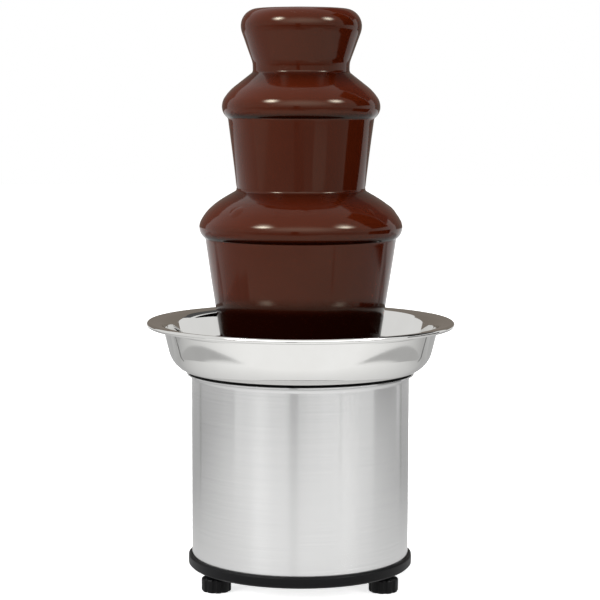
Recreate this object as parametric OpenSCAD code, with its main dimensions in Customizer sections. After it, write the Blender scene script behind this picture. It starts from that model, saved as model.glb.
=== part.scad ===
// Home chocolate fountain: steel drum base, heated basin, and a tube tower with two tiers and a crown.
// Millimetres, +Z up, front towards -Y, origin on the table under the centre of the basin.

/* [Base] */
// Outside radius of the drum
drum_r = 77; // [70:0.5:90]
// Sheet thickness of the drum
drum_t = 0.9; // [0.6:0.1:1.5]
// Height of the drum above the base ring
drum_h = 128.4; // [120:0.5:160]
// How far the lip at the top of the drum flares out
lip_out = 2.4; // [1.5:0.1:4]
// Height over which the lip flares
lip_h = 3.6; // [2.5:0.1:6]
// How far the base ring stands out past the drum
ring_out = 2.5; // [1.5:0.1:5]
// Height of the base ring
ring_h = 8; // [7:0.5:14]
// Floor thickness of the base tray
tray_t = 3.2; // [2.4:0.1:5]
// Thickness of the gasket between drum and basin
gasket_t = 1.2; // [0.8:0.1:3]

/* [Feet] */
// Clear height under the base with the feet screwed right in
foot_h = 12.8; // [11:0.2:20]
// Radius of a foot knob
foot_r = 10.3; // [9:0.1:12]
// Number of finger lobes round a foot knob
foot_lobes = 10; // [6:1:16]
// How far the centres of the feet stand inside the drum's outside
foot_inset = 9.6; // [8.5:0.1:14]
// Radius of a foot's threaded stud
stud_r = 4; // [3:0.25:5]
// How far a foot screws down
foot_travel = 8; // [4:1:12]

/* [Basin] */
// How far the rolled rim stands out past the drum
rim_out = 31.7; // [27:0.1:43]
// Height of the basin from its underside to the top of the rim
basin_h = 35.8; // [32:0.2:50]
// Sheet thickness of the basin
basin_t = 0.9; // [0.6:0.1:1.2]
// Outside radius of the bend from floor to wall
corner_r = 16.5; // [12:0.5:22]
// Outward lean of the wall in degrees
wall_lean = 14.5; // [8:0.5:20]
// Radius of the bend from wall to flange
shoulder_r = 6; // [4:0.5:9]
// Rise of the flange towards the rim in degrees
flange_rise = 8; // [3:0.5:14]
// Width of the flat of the flange between the wall's bend and the bead
flange_w = 5.23; // [4:0.01:10]
// Radius of the rolled bead at the rim
bead_r = 1.4; // [1.3:0.05:2]

/* [Tower] */
// Inside radius of the tube
tube_in_r = 18.4; // [17.5:0.1:20]
// Wall thickness of the tube at its top
tube_t = 1; // [0.8:0.1:1.5]
// Step in the tube's radius under each tier
tube_step = 0.8; // [0.6:0.1:1.2]
// Gap between the basin floor and the foot of the tube
tube_lift = 6.7; // [5:0.1:9]
// Sheet thickness of tiers and crown
tier_t = 1; // [0.8:0.1:1.5]
// Wall thickness of the collars that slide on the tube
collar_t = 1.6; // [1.2:0.1:2.2]
// Height of the tiers' collars
collar_h = 26; // [18:1:32]
// Radial clearance of the collars on the tube
collar_fit = 0.15; // [0.1:0.01:0.3]
// Height of the crown's collar on the tube
crown_collar_h = 12.5; // [9:0.5:14]
// Radius of the crown cup at its bottom
crown_bottom_r = 30.5; // [29:0.1:32]

/* [Chocolate] */
// Depth of the pool in the basin
pool_depth = 15.7; // [12:0.1:20]
// Thickness of the chocolate over the tiers
coat_t = 2.2; // [1.5:0.1:3]
// Thickness of a falling curtain
curtain_t = 2; // [1.2:0.1:3]
// Height of the lower lip's widest line above the basin floor
lower_lip_h = 101.7; // [96:0.1:108]
// Widest radius of the lower flow
lower_r = 71.4; // [66:0.1:76]
// Rounding of the lower flow's shoulder
lower_shoulder = 20; // [16:0.5:22]
// Slope of the lower tier in degrees
lower_slope = 29; // [24:0.5:34]
// Radius where the lower curtain meets the pool
lower_land_r = 55.5; // [50:0.1:60]
// Height of the upper lip's widest line above the basin floor
upper_lip_h = 185.7; // [182:0.1:190]
// Widest radius of the upper flow
upper_r = 55.4; // [53:0.1:58]
// Rounding of the upper flow's shoulder
upper_shoulder = 14; // [11:0.5:16]
// Slope of the upper tier in degrees
upper_slope = 38; // [34:0.5:42]
// Radius where the upper curtain meets the lower tier
upper_land_r = 44.9; // [42:0.1:47]
// Roundness of the lips under their widest line
lip_curl = 9.5; // [8:0.1:12]
// How far the flow clings round under a lip in degrees
lip_cling = 56; // [45:1:65]
// Height of the crown's widest line above the basin floor
crown_lip_h = 241.7; // [238:0.1:246]
// Widest radius of the crown's flow
crown_r = 42.2; // [40:0.1:45]
// Rounding of the crown's top edge
crown_shoulder = 12; // [9:0.5:13]
// Rise of the crown's dome in degrees
crown_dome = 2.7; // [1:0.1:4]
// Radius where the crown's curtain meets the upper tier
crown_land_r = 33.8; // [33.2:0.1:35]

/* [Auger] */
// Radius of the auger's core
core_r = 7; // [6.5:0.1:9]
// Radial gap between the flight and the tube
flight_gap = 0.5; // [0.4:0.05:1]
// Height of one turn of the flight
flight_pitch = 30; // [24:1:36]
// Thickness of the flight
flight_t = 2.2; // [1.6:0.1:3]
// Radius of the output shaft
shaft_r = 4; // [3.5:0.1:4.5]

/* [Gear train] */
// Module of the output gear and the idler's pinion
out_module = 1; // [0.9:0.05:1.05]
// Teeth on the output gear
out_teeth = 56; // [52:2:60]
// Teeth on the idler's pinion
idler_small_teeth = 16; // [16:1:18]
// Module of the motor's pinion and the idler's wheel
in_module = 0.75; // [0.7:0.05:0.8]
// Teeth on the idler's wheel
idler_big_teeth = 64; // [60:2:66]
// Teeth on the motor's pinion
pinion_teeth = 16; // [16:1:18]
// Face width of the output gear
out_face = 6; // [5:0.5:7]
// Face width of the idler's wheel
in_face = 4; // [3:0.5:5]
// Thinning of each tooth for backlash
backlash = 0.14; // [0.1:0.01:0.25]

/* [Motor] */
// Thickness of the laminated stack
stack_h = 22; // [18:1:26]
// Width of the stack
stack_w = 56; // [50:1:60]
// Radius of the rotor
rotor_r = 11; // [9:0.5:12]
// Air gap round the rotor
air_gap = 0.4; // [0.35:0.05:0.6]
// Radius of the rotor's shaft
rotor_shaft_r = 2.5; // [2:0.1:3]
// Radius of the cooling fan
fan_r = 22; // [16:0.5:24]
// Number of fan blades
fan_blades = 7; // [5:1:11]

/* [Controls] */
// Height of dial and switch above the base ring
control_h = 68; // [60:1:72]
// Angle of dial and switch to either side of the back in degrees
control_turn = 20; // [18:1:30]
// Radius of the dial's skirt
dial_r = 17; // [15:0.5:18]
// How far the dial stands out from the drum
dial_out = 16; // [12:0.5:20]
// Half height of the rocker
rocker_half = 8.8; // [7:0.1:10]
// Half width of the rocker
rocker_wide = 5.2; // [4:0.1:7]
// Tilt of the rocker to either side in degrees
rocker_tilt = 9; // [6:0.5:11]
// Height of the cord gland above the base ring
gland_h = 22; // [18:1:30]
// Radius of the gland's bore
gland_bore = 3.5; // [3:0.1:4]

/* [Hidden] */
$fn = 96;

steel = [0.78, 0.78, 0.77];
bright = [0.86, 0.86, 0.85];
zinc = [0.66, 0.67, 0.68];
black = [0.06, 0.06, 0.06];
bronze = [0.68, 0.5, 0.28];
copper = [0.62, 0.3, 0.14];
nylon = [0.9, 0.89, 0.84];
cocoa = [0.26, 0.13, 0.09];

// Gap between pieces that move past each other
clear = 0.4;
// Radial clearance of a shaft that runs in a bore
run = 0.04;
// Overshoot of a cut past the face that it opens
eps = 1;

// Levels from the table up
z_tray = foot_h;
z_ring = z_tray + ring_h;
z_lip = z_ring + drum_h;
z_under = z_lip + gasket_t;
z_floor = z_under + basin_t;
z_rim = z_under + basin_h;
z_pool = z_floor + pool_depth;
z_tube = z_floor + tube_lift;

// Angles of the three feet, and of the tie rods between them
foot_angles = [-30, 90, 210];
rod_angles = [30, 150, 270];

// Points of an arc from angle a to angle b in n steps
function arc(c, r, a, b, n) = [for (i = [0 : n]) let (t = a + (b - a) * i / n) c + r * [cos(t), sin(t)]];
function unit(v) = v / norm(v);
function left(v) = [-v[1], v[0]];
function flip(p) = [for (i = [len(p) - 1 : -1 : 0]) p[i]];

// Offset direction at point i of a path, lengthened at bends so that the sheet keeps its thickness
function side(p, i) = let (
    a = i > 0 ? unit(p[i] - p[i - 1]) : unit(p[1] - p[0]),
    b = i < len(p) - 1 ? unit(p[i + 1] - p[i]) : a,
    n = unit(left(a) + left(b))) n / (n * left(a));

// Outline of a sheet of thickness t along a path
function sheet(p, t) = concat(
    [for (i = [0 : len(p) - 1]) p[i] + side(p, i) * t / 2],
    flip([for (i = [0 : len(p) - 1]) p[i] - side(p, i) * t / 2]));

// A ring, or a stepped tube, made by turning a rectangle
module ring(r1, r2, z1, z2) {
    rotate_extrude() translate([r1, z1]) square([r2 - r1, z2 - z1]);
}

// Places children at the back of the drum, turned to one side, with +Y outwards and the given height
module at_back(turn, z) {
    rotate([0, 0, turn]) translate([0, 0, z]) children();
}

// A round bar along +Y between two distances from the axis
module rod_y(r, y1, y2) {
    translate([0, y1, 0]) rotate([-90, 0, 0]) cylinder(r = r, h = y2 - y1);
}

// A hexagonal nut along +Z, measured across its flats
module nut(flats, bore, h) {
    difference() {
        cylinder(r = flats / sqrt(3), h = h, $fn = 6);
        translate([0, 0, -eps]) cylinder(r = bore, h = h + 2 * eps, $fn = 96);
    }
}

// Base tray, drum and feet

// Gap between the drum's wall and the tray's parts on either side of it
drum_fit = 0.2;
// Depth of the groove in which the drum stands
groove_d = 2;
z_groove = z_ring - groove_d;
drum_in_r = drum_r - drum_t;
spigot_r = drum_in_r - drum_fit;
spigot_t = 2;
spigot_h = 7;
ring_r = drum_r + ring_out;
ring_edge = min(1.2, ring_out / 2);
foot_circle_r = drum_r - foot_inset;
insert_r = stud_r + 2;
boss_r = insert_r + 2;
boss_h = foot_travel + 9;
z_boss = z_tray + boss_h;
rod_r = 2.5;
rod_inset = 16;
rod_circle_r = drum_r - rod_inset;
rod_boss_r = 8;
nut_h = 3.2;
nut_flats = 8;
vent_r = 30;
vent_len = 22;
vent_count = 18;
vent_w = 3;

module at_feet() {
    for (a = foot_angles) rotate([0, 0, a]) translate([foot_circle_r, 0, 0]) children();
}

module at_rods() {
    for (a = rod_angles) rotate([0, 0, a]) translate([rod_circle_r, 0, 0]) children();
}

module base_plate() color(black) difference() {
    union() {
        rotate_extrude() polygon([
            [0, z_tray], [ring_r - ring_edge, z_tray], [ring_r, z_tray + ring_edge],
            [ring_r, z_ring - ring_edge], [ring_r - ring_edge, z_ring], [drum_r + drum_fit, z_ring],
            [drum_r + drum_fit, z_groove], [spigot_r, z_groove], [spigot_r, z_groove + spigot_h],
            [spigot_r - spigot_t, z_groove + spigot_h], [spigot_r - spigot_t, z_tray + tray_t],
            [0, z_tray + tray_t]]);
        intersection() {
            at_feet() translate([0, 0, z_tray]) cylinder(r = boss_r, h = boss_h);
            cylinder(r = spigot_r, h = z_boss);
        }
        at_rods() translate([0, 0, z_tray]) cylinder(r = rod_boss_r, h = 2 * tray_t + nut_h);
    }
    at_feet() translate([0, 0, z_tray - eps]) cylinder(r = insert_r, h = boss_h + 2 * eps);
    at_rods() translate([0, 0, z_tray - eps])
        cylinder(r = nut_flats / sqrt(3) + drum_fit, h = nut_h + eps);
    at_rods() translate([0, 0, z_tray]) cylinder(r = rod_r + drum_fit, h = 3 * tray_t + nut_h);
    for (i = [0 : vent_count - 1]) rotate([0, 0, (i + 0.5) * 360 / vent_count])
        translate([vent_r - vent_len / 2, -vent_w / 2, z_tray - eps])
            cube([vent_len, vent_w, tray_t + 2 * eps]);
}

module foot_inserts() color(bronze) at_feet() {
    ring(stud_r + run, insert_r, z_tray, z_boss);
}

// The drum's wall runs up and then curves out into the lip
drum_mid = drum_r - drum_t / 2;
lip_turn = 80;
lip_steps = 8;
// Reach of a cut through the wall to either side of it
wall_cut = 5;
drum_path = concat([[drum_mid, z_groove]], [for (i = [0 : lip_steps]) let (a = lip_turn * i / lip_steps)
    [drum_mid + lip_out * (1 - cos(a)) / (1 - cos(lip_turn)),
     z_lip - drum_t / 2 - lip_h + lip_h * sin(a) / sin(lip_turn)]]);

module drum() color(steel) difference() {
    rotate_extrude() polygon(sheet(drum_path, drum_t));
    at_back(control_turn, z_control) rod_y(neck_r + drum_fit, drum_in_r - wall_cut, drum_r + wall_cut);
    at_back(-control_turn, z_control) translate([0, drum_r, 0])
        cube([2 * (housing_w + drum_fit), 4 * wall_cut, 2 * (housing_h + drum_fit)], center = true);
    at_back(0, z_gland) rod_y(gland_r + drum_fit, drum_in_r - wall_cut, drum_r + wall_cut);
}

// Feet: a stud that screws down out of the tray, with a lobed knob on its end
knob_top = z_tray - clear;
knob_edge = 1.1;
knob_brow = 0.8 * knob_top;
neck_knob_r = stud_r + 2.4;
lobe_r = 1.7;
lobe_c = foot_r + 0.45 * lobe_r;
stud_foot = 3;
stud_top = z_boss - 1;

module foot_stud(i) color(zinc) rotate([0, 0, foot_angles[i]]) translate([foot_circle_r, 0, stud_foot])
    cylinder(r = stud_r, h = stud_top - stud_foot);

module foot_knob(i) color(black) rotate([0, 0, foot_angles[i]]) translate([foot_circle_r, 0, 0])
    difference() {
        rotate_extrude() polygon([
            [0, 0], [foot_r - knob_edge, 0], [foot_r, knob_edge], [foot_r, knob_brow - knob_edge],
            [foot_r - knob_edge, knob_brow], [neck_knob_r, knob_top], [0, knob_top]]);
        translate([0, 0, stud_foot - run]) cylinder(r = stud_r + run, h = knob_top);
        for (k = [0 : foot_lobes - 1]) rotate([0, 0, (k + 0.5) * 360 / foot_lobes])
            translate([lobe_c, 0, -eps]) cylinder(r = lobe_r, h = knob_top + 2 * eps);
    }

module foot_1_stud() foot_stud(0);
module foot_2_stud() foot_stud(1);
module foot_3_stud() foot_stud(2);
module foot_1_knob() foot_knob(0);
module foot_2_knob() foot_knob(1);
module foot_3_knob() foot_knob(2);

// Basin: floor, bend, leaning wall, bend to the flange, and a rolled bead, placed from the rim inwards
bend_r = corner_r - basin_t / 2;
wall_dir = [sin(wall_lean), cos(wall_lean)];
wall_out = [cos(wall_lean), -sin(wall_lean)];
flange_dir = [cos(flange_rise), sin(flange_rise)];
flange_up = [-sin(flange_rise), cos(flange_rise)];
rim_r = drum_r + rim_out;
bead_c = [rim_r - bead_r, z_rim - bead_r];
bead_mid = bead_r - basin_t / 2;
shoulder_c = bead_c + (bead_mid - shoulder_r) * flange_up - flange_w * flange_dir;
wall_top = shoulder_c - shoulder_r * wall_out;
z_wall_foot = z_under + corner_r + bend_r * wall_out[1];
wall_foot = wall_top - (wall_top[1] - z_wall_foot) / wall_dir[1] * wall_dir;
bend_c = wall_foot - bend_r * wall_out;
floor_r = bend_c[0];
bend_steps = 10;
shoulder_steps = 8;
bead_steps = 12;
bead_end = -150;
basin_hole_r = 9;
basin_path = concat(
    [[basin_hole_r, z_under + basin_t / 2]],
    arc(bend_c, bend_r, -90, -wall_lean, bend_steps),
    arc(shoulder_c, shoulder_r, 180 - wall_lean, 90 + flange_rise, shoulder_steps),
    arc(bead_c, bead_mid, 90 + flange_rise, bead_end, bead_steps));

module basin() color(bright) rotate_extrude() polygon(sheet(basin_path, basin_t));

// Gasket: a rim on the drum's lip with a skirt inside the wall
gasket_w = 2.5;
gasket_short = 0.6;
gasket_skirt = 3;
gasket_in_r = min(drum_in_r, floor_r) - gasket_w;
gasket_out_r = drum_r + lip_out - gasket_short;
z_skirt = z_lip - lip_h - gasket_skirt;

module basin_gasket() color(black) rotate_extrude() polygon([
    [gasket_in_r, z_under], [gasket_in_r, z_skirt], [drum_in_r - drum_fit, z_skirt],
    [drum_in_r - drum_fit, z_lip], [gasket_out_r, z_lip], [gasket_out_r, z_under]]);

// Pins that carry and centre the tube
tube_top_r = tube_in_r + tube_t;
tube_mid_r = tube_top_r + tube_step;
tube_low_r = tube_mid_r + tube_step;
pin_r = 2.2;
pin_foot_r = 4;
pin_circle_r = tube_low_r + clear + pin_r;
pin_h = 8;

module tower_pins() color(bright) for (a = rod_angles) rotate([0, 0, a])
    translate([pin_circle_r, 0, z_floor]) {
        cylinder(r = pin_foot_r, h = tube_lift);
        cylinder(r = pin_r, h = tube_lift + pin_h);
    }

// Seal boss: a turned fitting clamped in the basin's centre hole, with the seal over a bush
boss_flange_r = 14;
boss_flange_t = 1.8;
boss_bore = 6.5;
boss_nut_h = 7;
boss_nut_flats = 26;
boss_len = 14;
boss_edge = 0.8;
seal_h = 5;
seal_lip = 0.8;
seal_gap = 1;
z_boss_top = z_floor + boss_flange_t;
z_boss_foot = z_under - boss_len;

module seal_boss() color(bright) rotate_extrude() polygon([
    [boss_bore, z_boss_foot], [basin_hole_r, z_boss_foot], [basin_hole_r, z_floor],
    [boss_flange_r, z_floor], [boss_flange_r, z_boss_top - boss_edge],
    [boss_flange_r - boss_edge, z_boss_top], [boss_bore, z_boss_top]]);

module boss_nut() color(zinc) translate([0, 0, z_under - boss_nut_h])
    nut(boss_nut_flats, basin_hole_r, boss_nut_h);

module shaft_bush() color(bronze) ring(shaft_r + run, boss_bore, z_boss_foot, z_boss_top - seal_h);

// The lip stands a little above the boss and touches the shaft only there
module shaft_seal() color(black) rotate_extrude() polygon([
    [shaft_r + seal_gap, z_boss_top - seal_h], [boss_bore, z_boss_top - seal_h], [boss_bore, z_boss_top],
    [shaft_r + seal_gap, z_boss_top + seal_lip], [shaft_r + run, z_boss_top + seal_lip],
    [shaft_r + run, z_boss_top - seal_gap], [shaft_r + seal_gap, z_boss_top - 2 * seal_gap]]);

// Heater under the basin, pressed up by a plate on the tie rods
heater_in_r = 24;
heater_inset = 6;
heater_out_r = rod_circle_r - heater_inset;
heater_t = 3.2;
clamp_in_r = heater_in_r + 4;
clamp_t = 1.5;
ear_r = 7;
z_heater = z_under - heater_t;
z_clamp = z_heater - clamp_t;

module heater_ring() color(zinc) ring(heater_in_r, heater_out_r, z_heater, z_under);

module heater_clamp() color(zinc) difference() {
    union() {
        ring(clamp_in_r, heater_out_r, z_clamp, z_heater);
        at_rods() translate([0, 0, z_clamp]) cylinder(r = ear_r, h = clamp_t);
    }
    at_rods() translate([0, 0, z_clamp - eps]) cylinder(r = rod_r + drum_fit, h = clamp_t + 2 * eps);
}

cutout_r = 8;
cutout_h = 7;
cutout_y = (heater_in_r + heater_out_r) / 2 + 0.5;
// Push-on tabs: thickness, width and length
tab = [0.8, 6, 5];
tab_x = 4;
z_tabs = z_clamp - cutout_h - tab[2];

module thermal_cutout() color(black) translate([0, cutout_y, 0]) {
    translate([0, 0, z_clamp - cutout_h]) cylinder(r = cutout_r, h = cutout_h);
    for (s = [-1, 1]) translate([s * tab_x - tab[0] / 2, -tab[1] / 2, z_tabs]) cube(tab + [0, 0, eps]);
}

// The rods stop a little short of the tray's underside
z_rod = z_tray + 0.3;

module tie_rods() color(zinc) at_rods() translate([0, 0, z_rod]) cylinder(r = rod_r, h = z_under - z_rod);

// Every rod has a nut under the clamp, one on each side of the bracket and one in the tray
module rod_nuts() color(zinc) at_rods() for (z = [z_clamp - nut_h, z_bracket + bracket_t,
        z_bracket - nut_h, z_tray]) translate([0, 0, z]) nut(nut_flats, rod_r, nut_h);

// Gear train: output gear on the axis, a compound idler beside it, and the motor's pinion
pressure = 20;
function involute(a) = tan(a) * 180 / PI - a;

// Outline of an involute gear whose first tooth points along +X
function gear(m, teeth) = let (
    rp = m * teeth / 2, rb = rp * cos(pressure), ra = rp + 0.95 * m, rf = rp - 1.25 * m, lo = max(rb, rf),
    half = 90 / teeth - backlash / (2 * rp) * 180 / PI + involute(pressure),
    flank = concat(rf < rb ? [[rf, half]] : [],
        [for (i = [0 : 4]) let (r = lo + (ra - lo) * i / 4) [r, half - involute(acos(min(1, rb / r)))]]))
    [for (k = [0 : teeth - 1], s = [-1, 1], p = s < 0 ? flank : flip(flank))
        p[0] * [cos(360 / teeth * k + s * p[1]), sin(360 / teeth * k + s * p[1])]];

idler_turn = -150;
motor_turn = -20;
out_axis_gap = out_module * (out_teeth + idler_small_teeth) / 2;
in_axis_gap = in_module * (idler_big_teeth + pinion_teeth) / 2;
idler_at = out_axis_gap * [cos(idler_turn), sin(idler_turn)];
motor_at = idler_at + in_axis_gap * [cos(motor_turn), sin(motor_turn)];
axle_r = 2.5;
bracket_t = 2;
plate_t = 2;
plate_gap = 21;
z_bracket = z_under - 26.4;
z_plate = z_bracket - plate_gap - plate_t;
z_in_face = z_plate + plate_t + 3;
z_out_face = z_in_face + in_face + 4;
hub_r = 9;
hub_under = 1.5;
// Teeth that run past their mate's on each side
face_spare = 1;
// Holes that lighten the wheels
out_light_r = 4;
in_light_r = 3.6;
in_light_at = 0.34 * in_module * idler_big_teeth;
idler_boss_h = 2.5;
idler_boss_r = axle_r + 2;

module output_gear() color(nylon) translate([0, 0, z_out_face]) difference() {
    union() {
        rotate([0, 0, idler_turn]) linear_extrude(out_face) polygon(gear(out_module, out_teeth));
        translate([0, 0, -hub_under]) cylinder(r = hub_r, h = out_face + 2 * hub_under);
    }
    translate([0, 0, -2 * hub_under]) cylinder(r = shaft_r, h = out_face + 4 * hub_under);
    for (k = [0 : 5]) rotate([0, 0, 60 * k]) translate([(hub_r + out_module * out_teeth / 2) / 2, 0, -eps])
        cylinder(r = out_light_r, h = out_face + 2 * eps);
}

module idler_gear() color(nylon) translate([idler_at[0], idler_at[1], z_in_face]) difference() {
    union() {
        rotate([0, 0, motor_turn]) linear_extrude(in_face) polygon(gear(in_module, idler_big_teeth));
        rotate([0, 0, idler_turn + 180 + 180 / idler_small_teeth])
            linear_extrude(z_out_face - z_in_face + out_face + face_spare)
                polygon(gear(out_module, idler_small_teeth));
        translate([0, 0, -idler_boss_h]) cylinder(r = idler_boss_r, h = idler_boss_h + in_face);
    }
    translate([0, 0, -plate_gap]) cylinder(r = axle_r + run, h = 3 * plate_gap);
    for (k = [0 : 4]) rotate([0, 0, 72 * k]) translate([in_light_at, 0, -eps])
        cylinder(r = in_light_r, h = in_face + 2 * eps);
}

// Shafts and axles end a little past the bushes and plates that hold them
proud = 0.5;

module idler_axle() color(zinc) translate([idler_at[0], idler_at[1], z_plate - proud])
    cylinder(r = axle_r, h = plate_gap + 2 * plate_t);

module motor_pinion() color(bronze) translate([motor_at[0], motor_at[1], z_in_face - face_spare])
    difference() {
        rotate([0, 0, motor_turn + 180 + 180 / pinion_teeth])
            linear_extrude(in_face + 2 * face_spare) polygon(gear(in_module, pinion_teeth));
        translate([0, 0, -eps]) cylinder(r = rotor_shaft_r, h = in_face + 2 * (face_spare + eps));
    }

bush_out_r = shaft_r + 3;
bush_h = 6;
bush_low = z_plate + plate_t - bush_h;
bush_high = z_bracket + bracket_t - bush_h / 2;

module output_bushes() color(bronze) for (z = [bush_low, bush_high])
    ring(shaft_r + run, bush_out_r, z, z + bush_h);

// The shaft reaches this far up into the auger from the foot of the tube
shaft_reach = 34;
z_shaft_foot = bush_low - proud;
z_shaft_top = z_tube + shaft_reach;

module output_shaft() color(bright) difference() {
    translate([0, 0, z_shaft_foot]) cylinder(r = shaft_r, h = z_shaft_top - z_shaft_foot);
    translate([-2 * shaft_r, 0, z_drive]) rotate([0, 90, 0]) cylinder(r = drive_r, h = 4 * shaft_r);
}

// Bracket and plate that hold the train, with posts between them
bracket_inset = 11;
bracket_r = drum_r - bracket_inset;
// Windows for air and leads, away from the idler
window_angles = [-30, 90];
window_r = 9;
window_at = bracket_r - 2 * window_r;
rod_gap = 2.5;
post_r = 3.5;
posts = [[-46, 14], [33, 16], [28, -48], [-38, -50]];
plate_edge = [[-52, 12], [-42, 21], [34, 21], [40, 15], [40, -40], [24, -55], [-34, -57], [-56, -34]];

module motor_bracket() color(zinc) difference() {
    translate([0, 0, z_bracket]) cylinder(r = bracket_r, h = bracket_t);
    translate([0, 0, z_bracket - eps]) {
        cylinder(r = bush_out_r, h = bracket_t + 2 * eps);
        translate([idler_at[0], idler_at[1], 0]) cylinder(r = axle_r, h = bracket_t + 2 * eps);
        at_rods() cylinder(r = rod_r + drum_fit, h = bracket_t + 2 * eps);
        for (a = window_angles) rotate([0, 0, a]) translate([window_at, 0, 0])
            cylinder(r = window_r, h = bracket_t + 2 * eps);
    }
}

module gear_plate() color(zinc) difference() {
    translate([0, 0, z_plate]) linear_extrude(plate_t) polygon(plate_edge);
    translate([0, 0, z_plate - eps]) {
        cylinder(r = bush_out_r, h = plate_t + 2 * eps);
        translate([idler_at[0], idler_at[1], 0]) cylinder(r = axle_r, h = plate_t + 2 * eps);
        translate([motor_at[0], motor_at[1], 0]) cylinder(r = motor_bush_r, h = plate_t + 2 * eps);
        at_rods() cylinder(r = rod_r + rod_gap, h = plate_t + 2 * eps);
    }
}

module gear_spacers() color(zinc) for (p = posts) translate([p[0], p[1], z_plate + plate_t])
    cylinder(r = post_r, h = plate_gap);

// Motor: laminated stack with a wound limb, a rotor in its bore, and a bridge that carries the lower bearing
stack_gap = 17;
z_stack = z_plate - stack_gap - stack_h;
bore_r = rotor_r + air_gap;
pole_wall = 4;
pole_back = 3;
stack_front = bore_r + pole_wall;
slot_y = bore_r + pole_back;
limb_y = slot_y + 11;
limb_w = 9;
slot_x = 14;
coil_t = 7;
screw_x = stack_w / 2 - 5;
screw_r = 2;
screw_head = 3;
bridge_gap = 10;
bridge_t = 2.5;
bridge_w = 14;
z_bridge = z_stack - bridge_gap - bridge_t;
motor_bush_r = rotor_shaft_r + 2.5;
motor_bush_h = 5;

module at_motor(z) {
    translate([motor_at[0], motor_at[1], z]) children();
}

module motor_core() color(zinc) at_motor(z_stack) difference() {
    translate([-stack_w / 2, -stack_front, 0]) cube([stack_w, stack_front + limb_y + limb_w, stack_h]);
    translate([0, 0, -eps]) cylinder(r = bore_r, h = stack_h + 2 * eps);
    for (s = [-1, 1]) translate([s * screw_x, 0, -eps]) cylinder(r = screw_r, h = stack_h + 2 * eps);
    translate([-slot_x, slot_y, -eps]) cube([2 * slot_x, limb_y - slot_y, stack_h + 2 * eps]);
}

module motor_coil() color(copper) at_motor(z_stack) difference() {
    translate([-slot_x + clear, limb_y - coil_t, -coil_t])
        cube([2 * (slot_x - clear), limb_w + 2 * coil_t, stack_h + 2 * coil_t]);
    translate([-slot_x - eps, limb_y, 0]) cube([2 * (slot_x + eps), limb_w, stack_h]);
}

module motor_bridge() color(zinc) at_motor(z_bridge) difference() {
    translate([-stack_w / 2, -bridge_w / 2, 0]) cube([stack_w, bridge_w, bridge_t]);
    translate([0, 0, -eps]) cylinder(r = motor_bush_r, h = bridge_t + 2 * eps);
    for (s = [-1, 1]) translate([s * screw_x, 0, -eps]) cylinder(r = screw_r, h = bridge_t + 2 * eps);
}

// Long screws run from the plate through sleeves and the stack down to the bridge
sleeve_r = 4;

module motor_screws() color(zinc) at_motor(0) for (s = [-1, 1]) translate([s * screw_x, 0, 0]) {
    translate([0, 0, z_bridge]) cylinder(r = screw_r, h = z_plate - z_bridge);
    translate([0, 0, z_bridge - screw_head]) cylinder(r = sleeve_r, h = screw_head);
    translate([0, 0, z_bridge + bridge_t]) cylinder(r = sleeve_r, h = bridge_gap);
    translate([0, 0, z_stack + stack_h]) cylinder(r = sleeve_r, h = stack_gap);
}

module motor_bushes() color(bronze) at_motor(0) for (z = [z_bridge, z_plate + plate_t - motor_bush_h])
    ring(rotor_shaft_r + run, motor_bush_r, z, z + motor_bush_h);

fan_h = 9;
fan_gap = 2.4;
z_fan = z_bridge - fan_gap - fan_h;
fan_hub_r = 6;
blade_t = 1.2;
blade_tilt = 35;
// The rotor's end rings stand out of the stack
end_ring = 1;

module rotor_core() color(zinc) at_motor(0)
    ring(rotor_shaft_r, rotor_r, z_stack - end_ring, z_stack + stack_h + end_ring);

module rotor_shaft() color(bright) at_motor(z_fan)
    cylinder(r = rotor_shaft_r, h = z_in_face + in_face + face_spare - z_fan);

module cooling_fan() color(black) at_motor(z_fan) difference() {
    union() {
        cylinder(r = fan_hub_r, h = fan_h);
        for (k = [0 : fan_blades - 1]) rotate([0, 0, 360 / fan_blades * k])
            translate([fan_hub_r - eps, 0, fan_h / 2]) rotate([blade_tilt, 0, 0])
                translate([0, -fan_h / 2, -blade_t / 2]) cube([fan_r - fan_hub_r, fan_h, blade_t]);
    }
    translate([0, 0, -fan_h]) cylinder(r = rotor_shaft_r, h = 3 * fan_h);
}

// Controls and inlet at the back
z_control = z_ring + control_h;
z_gland = z_ring + gland_h;
neck_r = 4.8;
spindle_r = 3;
thermo_r = 14;
thermo_depth = 26;
thermo_y = drum_r - thermo_depth;
thermo_h = 15;
// Push-on blades of thermostat and switch: width, length and thickness
blade = [4, 6, 0.8];
blade_x = 6;
spindle_seat = 4;
dial_nut_flats = 13;
dial_nut_t = 2;
dial_back = drum_r + 1;
grip_r = dial_r - 4.5;
skirt_h = 3.5;
dial_front = dial_back + dial_out;
dial_edge = 1;
dial_cap = 3;
grip_count = 12;
grip_groove_r = 1.6;
// Width of the pointer, and how far it stands out of the grip to the front and to the side
pointer = [2.4, 0.6, 2.5];

module thermostat() color(zinc) at_back(control_turn, z_control) difference() {
    union() {
        rod_y(thermo_r, thermo_y, thermo_y + thermo_h);
        rod_y(neck_r, thermo_y, dial_back + dial_nut_t);
        for (s = [-1, 1]) translate([s * blade_x - blade[0] / 2, thermo_y - blade[1], -blade[2] / 2])
            cube(blade + [0, eps, 0]);
    }
    rod_y(spindle_r + run, thermo_y + spindle_seat, dial_front);
}

module dial_nut() color(zinc) at_back(control_turn, z_control) translate([0, drum_r, 0]) rotate([-90, 0, 0])
    nut(dial_nut_flats, neck_r, dial_nut_t);

module dial_spindle() color(bright) at_back(control_turn, z_control)
    rod_y(spindle_r, thermo_y + spindle_seat + clear, dial_front - dial_cap);

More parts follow.
